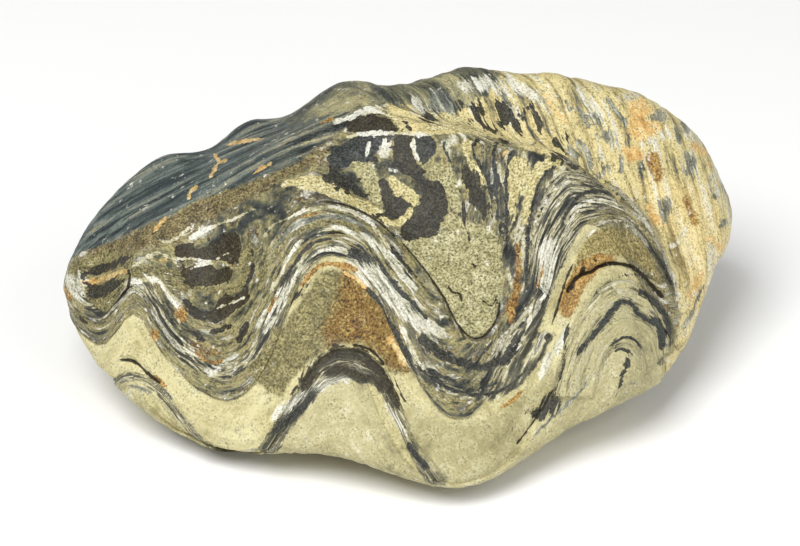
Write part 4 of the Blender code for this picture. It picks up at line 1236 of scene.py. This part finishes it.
upperLook = {
    "bandsPerMm": 0.85, "linesPerMm": 2.0, "smoothest": 0.40, "roughest": 0.62, "bump": 0.85,
    "layered": 1.0, "bandGrain": "layers", "fewestLines": 0.25, "mostLines": 0.85,
    "chips": 0.85, "chipsPerMm": 1.5, "fewestSpecks": 0.4, "mostSpecks": 1.0,
    "bands": [(0.33, "#2b2f31"), (0.41, "#484c4a"), (0.46, "#6a6d62"), (0.50, "#9f9973"), (0.54, "#c3bb8c"),
              (0.58, "#77745a"), (0.62, "#beba9f"), (0.68, "#ecebdf"), (0.75, "#5b5f5c")],
    "lines": [(0.34, "#242726"), (0.41, "#50544f"), (0.45, "#868161"), (0.50, "#bab386"), (0.54, "#7a6037"),
              (0.57, "#94958b"), (0.61, "#dddac6"), (0.68, "#f2f1ea"), (0.74, "#4f5350")],
}
lowerLook = {
    "bandsPerMm": 0.9, "linesPerMm": 2.0, "smoothest": 0.42, "roughest": 0.66, "bump": 0.7,
    "layered": 0.2, "bandGrain": "layers", "fewestLines": 0.25, "mostLines": 0.85,
    "chips": 0.4, "chipsPerMm": 1.5, "fewestSpecks": 0.1, "mostSpecks": 0.8,
    "bands": [(0.34, "#2f3230"), (0.42, "#4b4f4c"), (0.48, "#777868"), (0.54, "#a9a37c"), (0.62, "#d2cda9")],
    "lines": [(0.36, "#2f312e"), (0.45, "#66675c"), (0.52, "#aca67f"), (0.60, "#e0ddc6")],
    "deepFrom": 15.6,
    "deep": [(0.34, "#837f68"), (0.41, "#a7a17e"), (0.47, "#c0b991"), (0.54, "#cfc8a1"), (0.62, "#e2dfc5")],
}
sedimentLook = {
    "bandsPerMm": 0.35, "linesPerMm": 1.2, "smoothest": 0.55, "roughest": 0.75, "bump": 0.9,
    "layered": 0.15, "bandGrain": "massive", "fewestLines": 0.0, "mostLines": 0.35,
    "chips": 0.25, "chipsPerMm": 1.5, "fewestSpecks": 0.1, "mostSpecks": 0.8,
    "bands": [(0.35, "#968f69"), (0.42, "#beb68b"), (0.48, "#d9d1a6"), (0.56, "#e3dcb4"), (0.66, "#eeeacf")],
    "lines": [(0.30, "#857a52"), (0.45, "#b3ab80"), (0.60, "#d3cda2")],
}
for item, name, look in ((upperValve, "upper valve shell, polished stone", upperLook),
                         (sedimentFill, "hardened lime mud fill, worn", sedimentLook),
                         (lowerValve, "lower valve shell, polished stone", lowerLook)):
    item.data.materials.clear()
    item.data.materials.append(polishedShell(name, look))
print("materials made")


# The studio: a pale floor, a broad soft light from the upper left and a weaker one from the right
studio = {
    "floorHalf": 3.0, "floor": "#f4f4f3", "floorRoughness": 0.9, "floorDrop": 0.0001,
    "sky": (1.0, 1.0, 1.0, 1.0), "skyStrength": 0.36, "sensorMm": 36.0, "clipEnd": 20.0,
    # where each light stands in metres, how wide it is, and its watts
    "lights": {"key light": ((-0.30, -0.40, 0.80), 0.6, 8.6), "fill light": ((0.7, -0.5, 0.5), 0.8, 3.4)}}
bm = bmesh.new()
bmesh.ops.create_grid(bm, x_segments=1, y_segments=1, size=studio["floorHalf"])
floorMesh = bpy.data.meshes.new("floor")
bm.to_mesh(floorMesh)
bm.free()
floor = bpy.data.objects.new("floor", floorMesh)
floor.location.z = -studio["floorDrop"]
bpy.context.scene.collection.objects.link(floor)
floorMaterial = bpy.data.materials.new("matt white board")
floorMaterial.use_nodes = True
floorSurface = floorMaterial.node_tree.nodes["Principled BSDF"]
floorSurface.inputs["Base Color"].default_value = srgb(studio["floor"])
floorSurface.inputs["Roughness"].default_value = studio["floorRoughness"]
floorMesh.materials.append(floorMaterial)

for name, (place, size, watts) in studio["lights"].items():
    data = bpy.data.lights.new(name, "AREA")
    data.size = size
    data.energy = watts
    light = bpy.data.objects.new(name, data)
    light.location = place
    x, y, z = place
    light.rotation_euler = (math.atan2(math.hypot(x, y), z), 0.0, math.atan2(x, -y))
    bpy.context.scene.collection.objects.link(light)
world = bpy.data.worlds.new("studio sky")
world.use_nodes = True
world.node_tree.nodes["Background"].inputs["Color"].default_value = studio["sky"]
world.node_tree.nodes["Background"].inputs["Strength"].default_value = studio["skyStrength"]
bpy.context.scene.world = world
bpy.context.scene.view_settings.view_transform = "Standard"

cameraData = bpy.data.cameras.new("camera")
cameraData.sensor_width = studio["sensorMm"]
cameraData.lens = photo["focalPx"] / photo["wide"] * cameraData.sensor_width
cameraData.clip_end = studio["clipEnd"]
camera = bpy.data.objects.new("camera", cameraData)
camera.location = tuple((eye + np.array([*shell["shift"], 0.0])) * mm)
camera.rotation_euler = (math.pi / 2 - pitch, 0.0, 0.0)
bpy.context.scene.collection.objects.link(camera)
bpy.context.scene.camera = camera
print("studio and camera placed")
